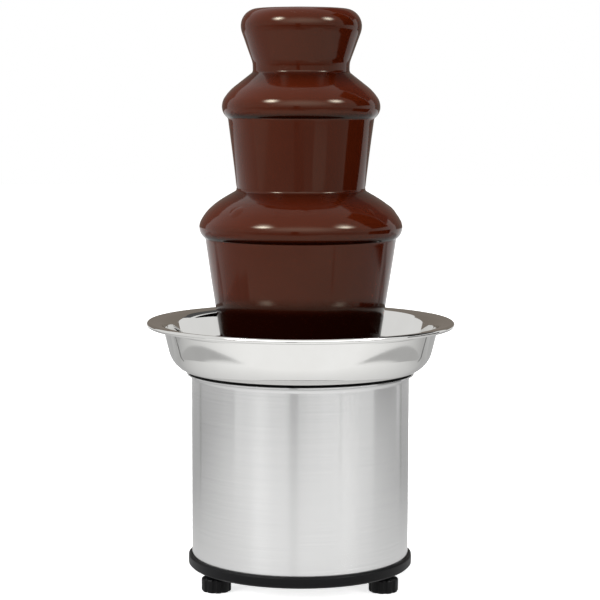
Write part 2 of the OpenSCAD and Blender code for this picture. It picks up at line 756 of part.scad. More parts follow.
// The knob is hollow behind so that it clears the nut, and carries one raised pointer
module heat_dial() color(black) at_back(control_turn, z_control) difference() {
    union() {
        rod_y(dial_r, dial_back, dial_back + skirt_h);
        rod_y(grip_r, dial_back, dial_front - dial_edge);
        rod_y(grip_r - dial_edge, dial_back, dial_front);
        translate([-pointer[0] / 2, dial_back, 0])
            cube([pointer[0], dial_out + pointer[1], grip_r + pointer[2]]);
    }
    rod_y(dial_nut_flats / sqrt(3) + 2 * clear, dial_back - eps, dial_back + dial_nut_t + 2 * clear);
    rod_y(spindle_r, dial_back - eps, dial_front - dial_cap);
    for (k = [0 : grip_count - 1]) rotate([0, (k + 0.5) * 360 / grip_count, 0])
        translate([grip_r + grip_groove_r / 2, 0, 0])
            rod_y(grip_groove_r, dial_back + skirt_h, dial_front + 2 * eps);
}

// Rocker switch: a housing with a bezel shaped to the drum, and a rocker on a cross pin
well_w = rocker_wide + clear;
well_h = rocker_half + 1.4;
housing_w = well_w + 1.4;
housing_h = well_h + 1.4;
bezel = 2;
bezel_out = 2.2;
bezel_in = 4;
pivot_y = drum_r - 0.5;
pivot_r = 1.2;
housing_d = 22;
well_d = 9;
switch_pitch = 6;
// The rocker's side view, from its axle: depth behind, half height there, brow, face and waist in front
rocker_back = 4;
rocker_tail = 6;
rocker_brow = 2.8;
rocker_face = 5.2;
rocker_waist = 3.8;

module switch_body() color(black) at_back(-control_turn, z_control) difference() {
    union() {
        difference() {
            translate([-housing_w - bezel, drum_r - bezel_in, -housing_h - bezel])
                cube([2 * (housing_w + bezel), bezel_in + bezel_out, 2 * (housing_h + bezel)]);
            translate([0, 0, -2 * housing_h]) cylinder(r = drum_r, h = 4 * housing_h);
        }
        translate([-housing_w, drum_r - housing_d, -housing_h])
            cube([2 * housing_w, housing_d + bezel_out / 2, 2 * housing_h]);
        for (s = [-1, 0, 1])
            translate([-blade[0] / 2, drum_r - housing_d - blade[1], s * switch_pitch - blade[2] / 2])
                cube(blade + [0, eps, 0]);
    }
    difference() {
        translate([-well_w, drum_r - well_d, -well_h]) cube([2 * well_w, 2 * well_d, 2 * well_h]);
        translate([-housing_w, pivot_y, 0]) rotate([0, 90, 0]) cylinder(r = pivot_r, h = 2 * housing_w);
    }
}

module motor_rocker() color(black) at_back(-control_turn, z_control) translate([0, pivot_y, 0])
    rotate([-rocker_tilt, 0, 0]) difference() {
        translate([-rocker_wide, 0, 0]) rotate([90, 0, 90]) linear_extrude(2 * rocker_wide) polygon([
            [-rocker_back, -rocker_tail], [rocker_brow, -rocker_half], [rocker_face, -rocker_half],
            [rocker_waist, 0], [rocker_face, rocker_half], [rocker_brow, rocker_half],
            [-rocker_back, rocker_tail]]);
        translate([-2 * rocker_wide, 0, 0]) rotate([0, 90, 0])
            cylinder(r = pivot_r + run, h = 4 * rocker_wide);
    }

gland_r = 7.7;
gland_flange_r = 10.5;
gland_flange_t = 3;
gland_nose = 10;
gland_taper = 2;
gland_in = 14;
gland_nut_flats = 20;
gland_nut_h = 4.5;
gland_nut_y = drum_r - 7.2;

module cord_gland() color(black) at_back(0, z_gland) difference() {
    union() {
        rod_y(gland_r, drum_r - gland_in, drum_r + eps);
        rod_y(gland_flange_r, drum_r, drum_r + gland_flange_t);
        translate([0, drum_r + gland_flange_t, 0]) rotate([-90, 0, 0])
            cylinder(r1 = gland_r, r2 = gland_r - gland_taper, h = gland_nose);
    }
    rod_y(gland_bore, drum_r - gland_in - eps, drum_r + gland_flange_t + gland_nose + eps);
}

module gland_nut() color(black) at_back(0, z_gland) translate([0, gland_nut_y, 0]) rotate([-90, 0, 0])
    nut(gland_nut_flats, gland_r, gland_nut_h);

// Terminal block on the tray, and the leads between the electrical pieces
block_inset = 18.6;
block_r = rod_circle_r - block_inset;
block_turn = 45;
block_at = block_r * [-sin(block_turn), cos(block_turn)];
block = [36, 14, 13];
z_block = z_tray + tray_t;
way_pitch = 8;
way_z = 5;
way_r = 1.8;
screw_way_r = 2.4;
ways = [-1.5 : 1 : 1.5];
lead_r = 1.1;

module terminal_block() color(nylon) translate([block_at[0], block_at[1], z_block]) rotate([0, 0, block_turn])
    difference() {
        translate([-block[0] / 2, -block[1] / 2, 0]) cube(block);
        for (k = ways) translate([k * way_pitch, 0, block[2] - way_z])
            cylinder(r = screw_way_r, h = way_z + eps);
        for (k = ways, s = [-1, 1]) translate([k * way_pitch, s * block[1] / 2, way_z]) rotate([90, 0, 0])
            cylinder(r = way_r, h = way_pitch, center = true);
    }

// One lead: an eight-sided tube along a path of points, its sections square to the path
lead_sides = 8;
lead_up = unit3([1, 0.4, 0.1]);
function unit3(v) = v / norm(v);
function lead_dir(p, i) = unit3(i == 0 ? p[1] - p[0] : i == len(p) - 1 ? p[i] - p[i - 1]
    : unit3(p[i + 1] - p[i]) + unit3(p[i] - p[i - 1]));
function lead_ring(p, i) = let (t = lead_dir(p, i), u = unit3(lead_up - (lead_up * t) * t), w = cross(t, u))
    [for (k = [0 : lead_sides - 1]) let (a = 360 / lead_sides * k) p[i] + lead_r * (cos(a) * u + sin(a) * w)];

module lead(p) let (n = lead_sides, last = n * (len(p) - 1)) polyhedron(
    points = [for (i = [0 : len(p) - 1]) each lead_ring(p, i)],
    faces = concat([[for (k = [0 : n - 1]) k]],
        [for (i = [0 : len(p) - 2], k = [0 : n - 1]) let (a = n * i + k, b = n * i + (k + 1) % n) each
            [[a, a + n, b], [b, a + n, b + n]]],
        [[for (k = [n - 1 : -1 : 0]) last + k]]));

// Place of one of the block's ways, on its inner or outer face
function way(k, s) = let (a = block_turn, x = k * way_pitch, y = s * (block[1] / 2 - 2))
    [block_at[0] + x * cos(a) - y * sin(a), block_at[1] + x * sin(a) + y * cos(a), z_block + way_z];
function out_of_way(k, s, d) = way(k, s) + d * s * [-sin(block_turn), cos(block_turn), 0];
function back_point(turn, x, y, z) = [x * cos(turn) - y * sin(turn), x * sin(turn) + y * cos(turn), z];

// Length of a lead's straight end, and where the leads meet coil, thermostat, cutout and heater
tail = 6;
way_out = 10;
coil_x = motor_at[0] - 5;
coil_y = motor_at[1] + limb_y + limb_w + coil_t;
coil_z = z_stack + 2;
blade_y = thermo_y - blade[1];
heater_y = heater_in_r + 2;

module wiring() color(black) {
    lead([way(1.5, -1), out_of_way(1.5, -1, way_out), [coil_x, coil_y + tail, coil_z - tail],
        [coil_x, coil_y + tail, coil_z], [coil_x, coil_y, coil_z]]);
    lead([way(0.5, 1), out_of_way(0.5, 1, way_out),
        back_point(control_turn, -blade_x, blade_y - tail, z_control - 3 * tail),
        back_point(control_turn, -blade_x, blade_y - tail, z_control),
        back_point(control_turn, -blade_x, blade_y, z_control)]);
    lead([back_point(control_turn, blade_x, blade_y, z_control),
        back_point(control_turn, blade_x, blade_y - tail, z_control),
        [tab_x, window_at, z_bracket - tail], [tab_x, window_at, z_bracket + bracket_t],
        [tab_x, cutout_y, z_tabs - tail / 2], [tab_x, cutout_y, z_tabs]]);
    lead([[-tab_x, cutout_y, z_tabs], [-tab_x, cutout_y, z_tabs - tail / 2],
        [-tab_x, cutout_y - tail, z_tabs - tail / 2], [-tab_x, clamp_in_r - tail, z_clamp - tail],
        [-tab_x, heater_y, z_clamp - tail / 2], [-tab_x, heater_y, z_heater]]);
}

// Chocolate and the sheet under it share these outlines: d is the depth below the outer skin
// Cone, shoulder and lip of a tier from its inner edge at radius r0 down to the given clinging angle
function tier_skin(r, z, sh, slope, r0, d, cling) = let (
    c = [r - sh, z], k = [r - lip_curl, z],
    start = c + (sh - d) * [sin(slope), cos(slope)],
    run_in = start[0] - r0)
    concat([[r0, start[1] + run_in * tan(slope)]],
        arc(c, sh - d, 90 - slope, 0, flow_steps),
        [for (i = [1 : flow_steps]) let (a = cling * i / flow_steps) k + (lip_curl - d) * [cos(a), -sin(a)]]);

z_lower = z_floor + lower_lip_h;
z_upper = z_floor + upper_lip_h;
z_crown = z_floor + crown_lip_h;
rim_cling = 24;
flow_steps = 8;
lower_flat_r = upper_land_r - 1.5;
upper_flat_r = crown_land_r - 1.2;

function lower_skin(r0, d, cling) = tier_skin(lower_r, z_lower, lower_shoulder, lower_slope, r0, d, cling);
function upper_skin(r0, d, cling) = tier_skin(upper_r, z_upper, upper_shoulder, upper_slope, r0, d, cling);

z_lower_flat = lower_skin(lower_flat_r, coat_t, rim_cling)[0][1];
z_upper_flat = upper_skin(upper_flat_r, coat_t, rim_cling)[0][1];
z_lower_seat = z_lower_flat - collar_h;
z_upper_seat = z_upper_flat - collar_h;
crown_gap = 3;
z_tube_top = z_upper_flat + crown_gap + crown_collar_h;
lower_bore = tube_mid_r + collar_fit;
upper_bore = tube_top_r + collar_fit;

// A spun tier: a collar on the tube, a flat top and the dome
module tier(skin, under, z_flat, z_seat, bore) {
    rotate_extrude() polygon(concat([[bore, z_flat]], skin, flip(under),
        [[bore + collar_t, z_flat - tier_t], [bore + collar_t, z_seat], [bore, z_seat]]));
}

module lower_tier() color(bright) tier(lower_skin(lower_flat_r, coat_t, rim_cling),
    lower_skin(lower_flat_r, coat_t + tier_t, rim_cling), z_lower_flat, z_lower_seat, lower_bore);

module upper_tier() color(bright) tier(upper_skin(upper_flat_r, coat_t, rim_cling),
    upper_skin(upper_flat_r, coat_t + tier_t, rim_cling), z_upper_flat, z_upper_seat, upper_bore);

// A flow: a coat over the tier that leaves the lip as a free curtain
module flow(outer, inner, land_r, z_land) {
    rotate_extrude() polygon(concat(outer, [[land_r, z_land], [land_r - curtain_t, z_land]], flip(inner)));
}

module lower_flow() color(cocoa) flow(lower_skin(upper_land_r + clear, 0, lip_cling),
    lower_skin(upper_land_r + clear, coat_t, lip_cling), lower_land_r, z_pool + clear);

module upper_flow() color(cocoa) flow(upper_skin(crown_land_r + clear, 0, lip_cling),
    upper_skin(crown_land_r + clear, coat_t, lip_cling), upper_land_r, z_lower_flat + clear);

// Tube, stepped so that each tier drops over the part above and rests on its own shoulder
module cylinder_tube() color(bright) rotate_extrude() polygon([
    [tube_in_r, z_tube], [tube_low_r, z_tube], [tube_low_r, z_lower_seat], [tube_mid_r, z_lower_seat],
    [tube_mid_r, z_upper_seat], [tube_top_r, z_upper_seat], [tube_top_r, z_tube_top],
    [tube_in_r, z_tube_top]]);

// Crown: a cup round a collar, resting on the tube's end
crown_collar_r = upper_bore + collar_t;
crown_ledge = 2;
z_crown_foot = z_tube_top - crown_collar_h;
z_spill = z_tube_top + crown_ledge;
z_crown_rim = z_crown + 1;
crown_rim_r = crown_r - coat_t - 0.6;
// Radius of the flat bottom inside its bend, and the height of that bend
crown_flat_r = crown_bottom_r - 3;
crown_bend_h = 1.5;
crown_out = [[crown_flat_r, z_crown_foot], [crown_bottom_r, z_crown_foot + crown_bend_h],
    [crown_rim_r, z_crown_rim]];
crown_in = [[crown_flat_r, z_crown_foot + tier_t],
    [crown_bottom_r - tier_t, z_crown_foot + crown_bend_h + tier_t / 2], [crown_rim_r - tier_t, z_crown_rim]];

module crown() color(bright) rotate_extrude() polygon(concat(
    [[upper_bore, z_crown_foot]], crown_out, flip(crown_in),
    [[crown_collar_r, z_crown_foot + tier_t], [crown_collar_r, z_spill], [tube_in_r, z_spill],
     [tube_in_r, z_tube_top], [upper_bore, z_tube_top]]));

// The crown's chocolate fills the cup, domes over the rim and clings to the outside of the wall
crown_dome_c = [crown_r - crown_shoulder, z_crown];
crown_cone = 20;
crown_curl = 14;
crown_cone_top = [crown_r - crown_curl * (1 - cos(crown_cone)), z_crown - crown_curl * sin(crown_cone)];
z_crown_drip = crown_cone_top[1] - (crown_cone_top[0] - crown_land_r) / tan(crown_cone);
dome_start = crown_dome_c + crown_shoulder * [sin(crown_dome), cos(crown_dome)];
z_crown_top = dome_start[1] + dome_start[0] * tan(crown_dome);
auger_past = 6;
z_auger_top = z_spill + auger_past;
z_cavity = z_auger_top + 2;

module crown_flow() color(cocoa) rotate_extrude() polygon(concat(
    [[0, z_cavity], [0, z_crown_top]],
    arc(crown_dome_c, crown_shoulder, 90 - crown_dome, 0, flow_steps),
    arc([crown_r - crown_curl, z_crown], crown_curl, -crown_cone / flow_steps, -crown_cone, flow_steps - 1),
    [[crown_land_r, z_crown_drip], [crown_land_r, z_upper_flat + clear],
     [crown_land_r - curtain_t, z_upper_flat + clear], [crown_land_r - curtain_t, z_crown_foot + tier_t]],
    [crown_out[1], crown_out[2]], flip(crown_in),
    [[crown_collar_r, z_crown_foot + tier_t], [crown_collar_r, z_spill], [tube_in_r, z_spill],
     [tube_in_r, z_cavity]]));

// The pool stops short of the pins, behind the lower curtain
pool_in_r = pin_circle_r + pin_foot_r + 1;
pool_bend = corner_r - basin_t - run;
pool_wall = bend_c + pool_bend * wall_out;

module chocolate_pool() color(cocoa) rotate_extrude() polygon(concat(
    [[pool_in_r, z_floor + run]],
    arc(bend_c, pool_bend, -90, -wall_lean, bend_steps),
    [[pool_wall[0] + (z_pool - pool_wall[1]) * tan(wall_lean), z_pool], [pool_in_r, z_pool]]));

// Auger: a core with one continuous flight, driven by a cross pin in the output shaft
flight_r = tube_in_r - flight_gap;
z_auger = z_boss_top + 1.6;
z_flight_top = z_tube_top - 3;
drive_r = 1.5;
z_drive = z_auger + 2 * drive_r;
flight_steps = 24;
auger_tip = 2;
flight_turns = (z_flight_top - z_auger - flight_t) / flight_pitch;
flight_n = ceil(flight_turns * flight_steps);
root_r = core_r - 0.6;

function flight_ring(i) = let (t = flight_turns * i / flight_n, a = 360 * t, z = z_auger + flight_pitch * t)
    [[root_r * cos(a), root_r * sin(a), z], [flight_r * cos(a), flight_r * sin(a), z],
     [flight_r * cos(a), flight_r * sin(a), z + flight_t], [root_r * cos(a), root_r * sin(a), z + flight_t]];

module flight() polyhedron(
    points = [for (i = [0 : flight_n]) each flight_ring(i)],
    faces = concat([[3, 2, 1, 0]],
        [for (i = [0 : flight_n - 1], k = [0 : 3]) let (a = 4 * i + k, b = 4 * i + (k + 1) % 4) each
            [[a, b, a + 4], [b, b + 4, a + 4]]],
        [[4 * flight_n, 4 * flight_n + 1, 4 * flight_n + 2, 4 * flight_n + 3]]));

module auger() color(nylon) difference() {
    union() {
        translate([0, 0, z_auger]) cylinder(r = core_r, h = z_auger_top - z_auger - auger_tip);
        translate([0, 0, z_auger_top - auger_tip])
            cylinder(r1 = core_r, r2 = core_r - auger_tip, h = auger_tip);
        flight();
    }
    translate([0, 0, z_auger - eps]) cylinder(r = shaft_r + run, h = z_shaft_top - z_auger + eps + proud);
    translate([-core_r - eps, -drive_r - run, z_auger - eps])
        cube([2 * (core_r + eps), 2 * (drive_r + run), z_drive - z_auger + drive_r + eps + run]);
}

module drive_pin() color(bright) translate([-core_r, 0, z_drive]) rotate([0, 90, 0])
    cylinder(r = drive_r, h = 2 * core_r);

drum();
base_plate();
basin();
basin_gasket();
tower_pins();
seal_boss();
boss_nut();
shaft_bush();
shaft_seal();
heater_ring();
heater_clamp();
thermal_cutout();
tie_rods();
rod_nuts();
motor_bracket();
gear_plate();
gear_spacers();
output_bushes();
idler_axle();
motor_core();
motor_coil();
motor_bridge();
motor_screws();
motor_bushes();
thermostat();
dial_nut();
switch_body();
cord_gland();
gland_nut();
terminal_block();
wiring();
foot_inserts();
chocolate_pool();
output_shaft();
output_gear();
drive_pin();
auger();
idler_gear();
rotor_core();
rotor_shaft();
motor_pinion();
cooling_fan();
cylinder_tube();
lower_tier();
lower_flow();
upper_tier();
upper_flow();
crown();
crown_flow();
heat_dial();
dial_spindle();
motor_rocker();
foot_1_stud();
foot_1_knob();
foot_2_stud();
foot_2_knob();
foot_3_stud();
foot_3_knob();
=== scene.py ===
# %% [markdown]
# # A home chocolate fountain, dressed over its working parts
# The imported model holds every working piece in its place: drum, basin, tower, screw, gears and controls.
# This lesson keeps those pieces and gives each one a finish. It remakes only what the eye meets first:
# the polished basin, the brushed drum, the knobs that the fountain stands on, and the running chocolate.

# %% Load the frame
import math

import bmesh
import bpy
from mathutils import Matrix, Vector, noise


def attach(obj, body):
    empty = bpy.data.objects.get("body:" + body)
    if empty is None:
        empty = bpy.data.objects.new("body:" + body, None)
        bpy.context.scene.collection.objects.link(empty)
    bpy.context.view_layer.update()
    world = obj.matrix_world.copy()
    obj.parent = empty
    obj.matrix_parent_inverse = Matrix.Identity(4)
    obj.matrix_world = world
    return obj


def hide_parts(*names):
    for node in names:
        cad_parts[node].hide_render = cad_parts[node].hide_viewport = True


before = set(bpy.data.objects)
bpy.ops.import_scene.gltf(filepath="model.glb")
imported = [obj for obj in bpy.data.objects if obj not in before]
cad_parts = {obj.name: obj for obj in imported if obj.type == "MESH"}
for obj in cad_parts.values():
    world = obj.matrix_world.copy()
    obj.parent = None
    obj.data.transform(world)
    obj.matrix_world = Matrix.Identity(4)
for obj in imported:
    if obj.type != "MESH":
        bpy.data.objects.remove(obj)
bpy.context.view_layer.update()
MM = 0.001

# %% [markdown]
# ## Camera
# A catalogue picture is taken from some way off with a long lens, so that upright walls stay upright.
# The camera stands level with the tower and looks slightly down. Its lens is given as a focal length in
# pixels of the square picture, which is easy to measure, and turned into millimetres of the sensor here.

# %% Camera
PICTURE = 600
FOCAL_PIXELS = 1940.4
LOOK_DOWN, LEAN_LEFT, LOOK_LEFT = 6.04, 0.15, 0.035
STAND = (0, -1.3636, 0.3454)

camera = bpy.data.objects.new("camera", bpy.data.cameras.new("camera"))
bpy.context.scene.collection.objects.link(camera)
camera.location = STAND
camera.rotation_euler = [math.radians(turn) for turn in (90 - LOOK_DOWN, -LEAN_LEFT, LOOK_LEFT)]
camera.data.lens = FOCAL_PIXELS / PICTURE * camera.data.sensor_width
bpy.context.scene.camera = camera
bpy.context.scene.view_settings.view_transform = "Standard"
print("lens", round(camera.data.lens, 1), "mm")

# %% [markdown]
# ## Helpers for finishes
# Colours are written as the sRGB hex values that a paint card would give, and shaders want linear light,
# so one function converts them. A second function adds a node: its settings are plain keywords, and its
# inputs are a dictionary in which a value is set and a socket is linked. Sockets that share a name go by
# number: a Mix node has its factor at 0 and its two colours at 6 and 7. Two more functions start a finish
# and turn a size in millimetres into the scale of a texture.


# %% Colour and node helpers
def linear(colour):
    """Linear RGBA of a hex colour such as 'a0522d'."""
    parts = [int(colour[i : i + 2], 16) / 255 for i in (0, 2, 4)]
    return [c / 12.92 if c <= 0.04045 else ((c + 0.055) / 1.055) ** 2.4 for c in parts] + [1.0]


def add(tree, kind, inputs=None, **settings):
    """Adds a node, applies its settings, and sets or links its inputs."""
    node = tree.nodes.new(kind)
    for name, value in settings.items():
        setattr(node, name, value)
    for name, value in (inputs or {}).items():
        if isinstance(value, bpy.types.NodeSocket):
            tree.links.new(value, node.inputs[name])
        else:
            node.inputs[name].default_value = value
    return node


def start_finish(name, **constants):
    """A new material with its shader's constant values, its tree, and its Object coordinates."""
    material = bpy.data.materials.new(name)
    material.use_nodes = True
    tree = material.node_tree
    shader = tree.nodes["Principled BSDF"]
    for socket, value in constants.items():
        shader.inputs[socket.replace("_", " ")].default_value = value
    return material, tree, shader, add(tree, "ShaderNodeTexCoord").outputs["Object"]


def per_mm(size):
    """Texture scale at which one feature is that many millimetres across."""
    return 1 / (size * MM)


print("chocolate brown in linear light:", [round(c, 3) for c in linear("391004")])

# %% [markdown]
# ## Melted couverture
# Warm chocolate thinned with cocoa butter is an opaque, deep red-brown with a wet skin. The skin does most
# of the work: it mirrors lamps sharply and shows the white room as a faint haze, and where it shows
# something dark the red-brown comes through. The brown drifts over a few centimetres where the stream is
# thicker or cooler, so two browns are mixed by a slow noise, and the skin's roughness drifts a little too.
# Just above the basin's rim the brown is mixed towards almost black, a painted shade for the basin's shadow
# on the curtain's foot, and the undersides of the lips, where hardly any light gets, get the same painted
# shade. The cocoa butter tints the skin faintly amber.

# %% Chocolate
Z_SHADE_TOP, Z_SHADE_FULL = 210, 195
chocolate, tree, shader, place = start_finish(
    "melted_couverture", IOR=1.46, Specular_IOR_Level=0.29, Specular_Tint=linear("fffae2"))
clouds = add(tree, "ShaderNodeTexNoise", {"Vector": place, "Scale": per_mm(35), "Detail": 3.0})
brown = add(tree, "ShaderNodeMix", {0: clouds.outputs[0], 6: linear("391004"), 7: linear("401406")},
            data_type="RGBA")
height = add(tree, "ShaderNodeSeparateXYZ", {0: place})
# Painted shade: the brown darkens towards the foot of the lowest curtain, just above the basin's rim.
rim_shade = add(tree, "ShaderNodeMapRange", {"Value": height.outputs["Z"], "From Min": Z_SHADE_TOP * MM,
                                        "From Max": Z_SHADE_FULL * MM}, interpolation_type="SMOOTHSTEP")
facing = add(tree, "ShaderNodeSeparateXYZ", {0: add(tree, "ShaderNodeNewGeometry").outputs["Normal"]})
# Painted shade: the brown darkens where the skin faces downwards, under the lips.
underside_shade = add(tree, "ShaderNodeMapRange", {"Value": facing.outputs["Z"], "From Min": -0.4, "From Max": -0.7})
painted_shade = add(tree, "ShaderNodeMath", {0: rim_shade.outputs[0], 1: underside_shade.outputs[0]}, operation="MAXIMUM")
# The two painted shades together mix the brown towards almost black.
shaded_brown = add(tree, "ShaderNodeMix", {0: painted_shade.outputs[0], 6: brown.outputs[2], 7: linear("140301")},
          data_type="RGBA")
sheen = add(tree, "ShaderNodeMapRange", {"Value": clouds.outputs[0], "To Min": 0.06, "To Max": 0.11})
tree.links.new(shaded_brown.outputs[2], shader.inputs["Base Color"])
tree.links.new(sheen.outputs[0], shader.inputs["Roughness"])
print("made", chocolate.name)

# %% [markdown]
# ## Polished stainless steel
# The basin and the tower's spun parts are bright stainless sheet, buffed after forming. To the eye this is
# a slightly warm mirror with a trace of haze, and faint waves where the sheet was pressed over the tool.

# %% Polished steel
polished_steel, tree, shader, place = start_finish("polished_stainless_sheet", Metallic=1.0)
haze = add(tree, "ShaderNodeTexNoise", {"Vector": place, "Scale": per_mm(22), "Detail": 4.0})
rough = add(tree, "ShaderNodeMapRange", {"Value": haze.outputs[0], "To Min": 0.03, "To Max": 0.07})
tint = add(tree, "ShaderNodeMix", {0: haze.outputs[0], 6: linear("e2e1de"), 7: linear("eaeae8")},
           data_type="RGBA")
wave = add(tree, "ShaderNodeTexNoise", {"Vector": place, "Scale": per_mm(30), "Detail": 1.0})
buffed = add(tree, "ShaderNodeBump", {"Height": wave.outputs[0], "Strength": 0.08, "Distance": 0.2 * MM})
tree.links.new(tint.outputs[2], shader.inputs["Base Color"])
tree.links.new(rough.outputs[0], shader.inputs["Roughness"])
tree.links.new(buffed.outputs[0], shader.inputs["Normal"])
print("made", polished_steel.name)

# %% [markdown]
# ## Brushed stainless steel
# The drum is rolled from sheet that was drawn past an abrasive belt, so its scratches run round it. Along
# the scratches a reflection stays sharp, and across them it smears, which turns every lamp into a soft
# upright band. The shader's anisotropy does this once it knows which way is up on the sheet, and the UV map
# of the drum tells it: its U runs up the wall. The belt's marks are about 0.1 mm apart, too fine for the
# picture, so they are drawn about 0.6 mm apart.

# %% Brushed steel
BRUSH_UV = "up_the_wall"
STRETCH = (0.006, 0.006, 1.0)
brushed_steel, tree, shader, place = start_finish(
    "brushed_stainless_sheet", Metallic=1.0, Anisotropic=0.9)
stretch = add(tree, "ShaderNodeMapping", {"Vector": place, "Scale": STRETCH})
marks = add(tree, "ShaderNodeTexNoise", {"Vector": stretch.outputs[0], "Scale": per_mm(0.6), "Detail": 3.0})
rough = add(tree, "ShaderNodeMapRange", {"Value": marks.outputs[0], "To Min": 0.19, "To Max": 0.24})
tint = add(tree, "ShaderNodeMix", {0: marks.outputs[0], 6: linear("d8d8d8"), 7: linear("e4e4e3")},
           data_type="RGBA")
grooves = add(tree, "ShaderNodeBump", {"Height": marks.outputs[0], "Strength": 0.02, "Distance": 0.05 * MM})
upwards = add(tree, "ShaderNodeTangent", direction_type="UV_MAP", uv_map=BRUSH_UV)
tree.links.new(tint.outputs[2], shader.inputs["Base Color"])
tree.links.new(rough.outputs[0], shader.inputs["Roughness"])
tree.links.new(grooves.outputs[0], shader.inputs["Normal"])
tree.links.new(upwards.outputs[0], shader.inputs["Tangent"])
print("made", brushed_steel.name)

# %% [markdown]
# ## Moulded black plastic and rubber
# The base ring, the knobs and the controls are black ABS, moulded in a tool with a fine spark texture. It
# shows as a satin black that greys where light grazes it. Edges are rubbed a little smoother and paler. A
# Bevel node rounds them for the shader alone, and comparing its normal with the true one finds them.

# %% Black plastic and rubber
black_plastic, tree, shader, place = start_finish("moulded_black_abs", IOR=1.45, Specular_IOR_Level=0.17)
grain = add(tree, "ShaderNodeTexNoise", {"Vector": place, "Scale": per_mm(0.7), "Detail": 2.0})
soft_edge = add(tree, "ShaderNodeBevel", {"Radius": 0.5 * MM}, samples=6)
true_face = add(tree, "ShaderNodeNewGeometry")
likeness = add(tree, "ShaderNodeVectorMath", {0: soft_edge.outputs[0], 1: true_face.outputs["Normal"]},
               operation="DOT_PRODUCT")
worn = add(tree, "ShaderNodeMapRange", {"Value": likeness.outputs["Value"], "From Min": 1.0,
                                        "From Max": 0.8})
shade = add(tree, "ShaderNodeMix", {0: worn.outputs[0], 6: linear("0c0c0d"), 7: linear("1e1e1f")},
            data_type="RGBA")
rough = add(tree, "ShaderNodeMapRange", {"Value": grain.outputs[0], "To Min": 0.36, "To Max": 0.52})
spark = add(tree, "ShaderNodeBump", {"Height": grain.outputs[0], "Normal": soft_edge.outputs[0],
                                     "Strength": 0.25, "Distance": 0.05 * MM})
tree.links.new(shade.outputs[2], shader.inputs["Base Color"])
tree.links.new(rough.outputs[0], shader.inputs["Roughness"])
tree.links.new(spark.outputs[0], shader.inputs["Normal"])

black_rubber, tree, shader, place = start_finish("pressed_black_silicone", IOR=1.41)
bloom = add(tree, "ShaderNodeTexNoise", {"Vector": place, "Scale": per_mm(4), "Detail": 4.0})
shade = add(tree, "ShaderNodeMix", {0: bloom.outputs[0], 6: linear("0b0b0b"), 7: linear("1a1a19")},
            data_type="RGBA")
rough = add(tree, "ShaderNodeMapRange", {"Value": bloom.outputs[0], "To Min": 0.55, "To Max": 0.75})
tree.links.new(shade.outputs[2], shader.inputs["Base Color"])
tree.links.new(rough.outputs[0], shader.inputs["Roughness"])
print("made", black_plastic.name, "and", black_rubber.name)

# %% [markdown]
# ## Finishes of the works
# Brackets, rods and nuts are zinc plated: a bluish grey with cloudy patches. Bushes are sintered bronze,
# dull and speckled with pores. The motor's winding is enamelled copper wire, laid turn beside turn. It is
# drawn 0.6 mm thick, coarser than the real wire, so that its turns show, and its scale allows for the wave
# texture's own period. The screw and the gears are natural nylon, milky and waxy. These pieces show only
# when the tower is lifted or when they are looked at one by one, yet each gets its own look.

# %% Zinc, bronze, copper and nylon
zinc_steel, tree, shader, place = start_finish("zinc_plated_steel", Metallic=1.0)
spangle = add(tree, "ShaderNodeTexNoise", {"Vector": place, "Scale": per_mm(6), "Detail": 5.0})
tint = add(tree, "ShaderNodeMix", {0: spangle.outputs[0], 6: linear("9a9da1"), 7: linear("b9bcbf")},
           data_type="RGBA")
rough = add(tree, "ShaderNodeMapRange", {"Value": spangle.outputs[0], "To Min": 0.28, "To Max": 0.46})
tree.links.new(tint.outputs[2], shader.inputs["Base Color"])
tree.links.new(rough.outputs[0], shader.inputs["Roughness"])

bronze, tree, shader, place = start_finish("sintered_bronze", Metallic=1.0)
pores = add(tree, "ShaderNodeTexVoronoi", {"Vector": place, "Scale": per_mm(0.5)})
tint = add(tree, "ShaderNodeMix", {0: pores.outputs[0], 6: linear("7d5c33"), 7: linear("b08a52")},
           data_type="RGBA")
pitted = add(tree, "ShaderNodeBump", {"Height": pores.outputs[0], "Strength": 0.3, "Distance": 0.05 * MM})
shader.inputs["Roughness"].default_value = 0.42
tree.links.new(tint.outputs[2], shader.inputs["Base Color"])
tree.links.new(pitted.outputs[0], shader.inputs["Normal"])

copper_winding, tree, shader, place = start_finish("enamelled_copper_wire", Metallic=1.0, Coat_Weight=0.6)
WIRE, WAVE_PERIOD = 0.6, math.tau / 20
turns = add(tree, "ShaderNodeTexWave", {"Vector": place, "Scale": WAVE_PERIOD * per_mm(WIRE),
                                        "Distortion": 0.6, "Detail": 1.0},
            bands_direction="X", wave_profile="SIN")
tint = add(tree, "ShaderNodeMix", {0: turns.outputs[1], 6: linear("5c2a12"), 7: linear("b4663a")},
           data_type="RGBA")
laid = add(tree, "ShaderNodeBump", {"Height": turns.outputs[1], "Strength": 0.7, "Distance": 0.3 * MM})
shader.inputs["Roughness"].default_value = 0.3
tree.links.new(tint.outputs[2], shader.inputs["Base Color"])
tree.links.new(laid.outputs[0], shader.inputs["Normal"])

white_nylon, tree, shader, place = start_finish(
    "natural_nylon", IOR=1.53, Subsurface_Weight=0.15, Subsurface_Scale=1.5 * MM)
milk = add(tree, "ShaderNodeTexNoise", {"Vector": place, "Scale": per_mm(12), "Detail": 3.0})
tint = add(tree, "ShaderNodeMix", {0: milk.outputs[0], 6: linear("dcd6c4"), 7: linear("ece8dc")},
           data_type="RGBA")
rough = add(tree, "ShaderNodeMapRange", {"Value": milk.outputs[0], "To Min": 0.3, "To Max": 0.42})
tree.links.new(tint.outputs[2], shader.inputs["Base Color"])
tree.links.new(rough.outputs[0], shader.inputs["Roughness"])
print("made", [m.name for m in (zinc_steel, bronze, copper_winding, white_nylon)])

# %% [markdown]
# ## Finishes on the frame's own pieces
# Each piece of the frame came in with the plain material of its slot. Looking the slot up in a table and
# putting the finished material in its place dresses every piece at once, and none is forgotten. Only the
# drum has the satin slot. The brushed finish needs a UV map, so it goes on the drum's shell further down.

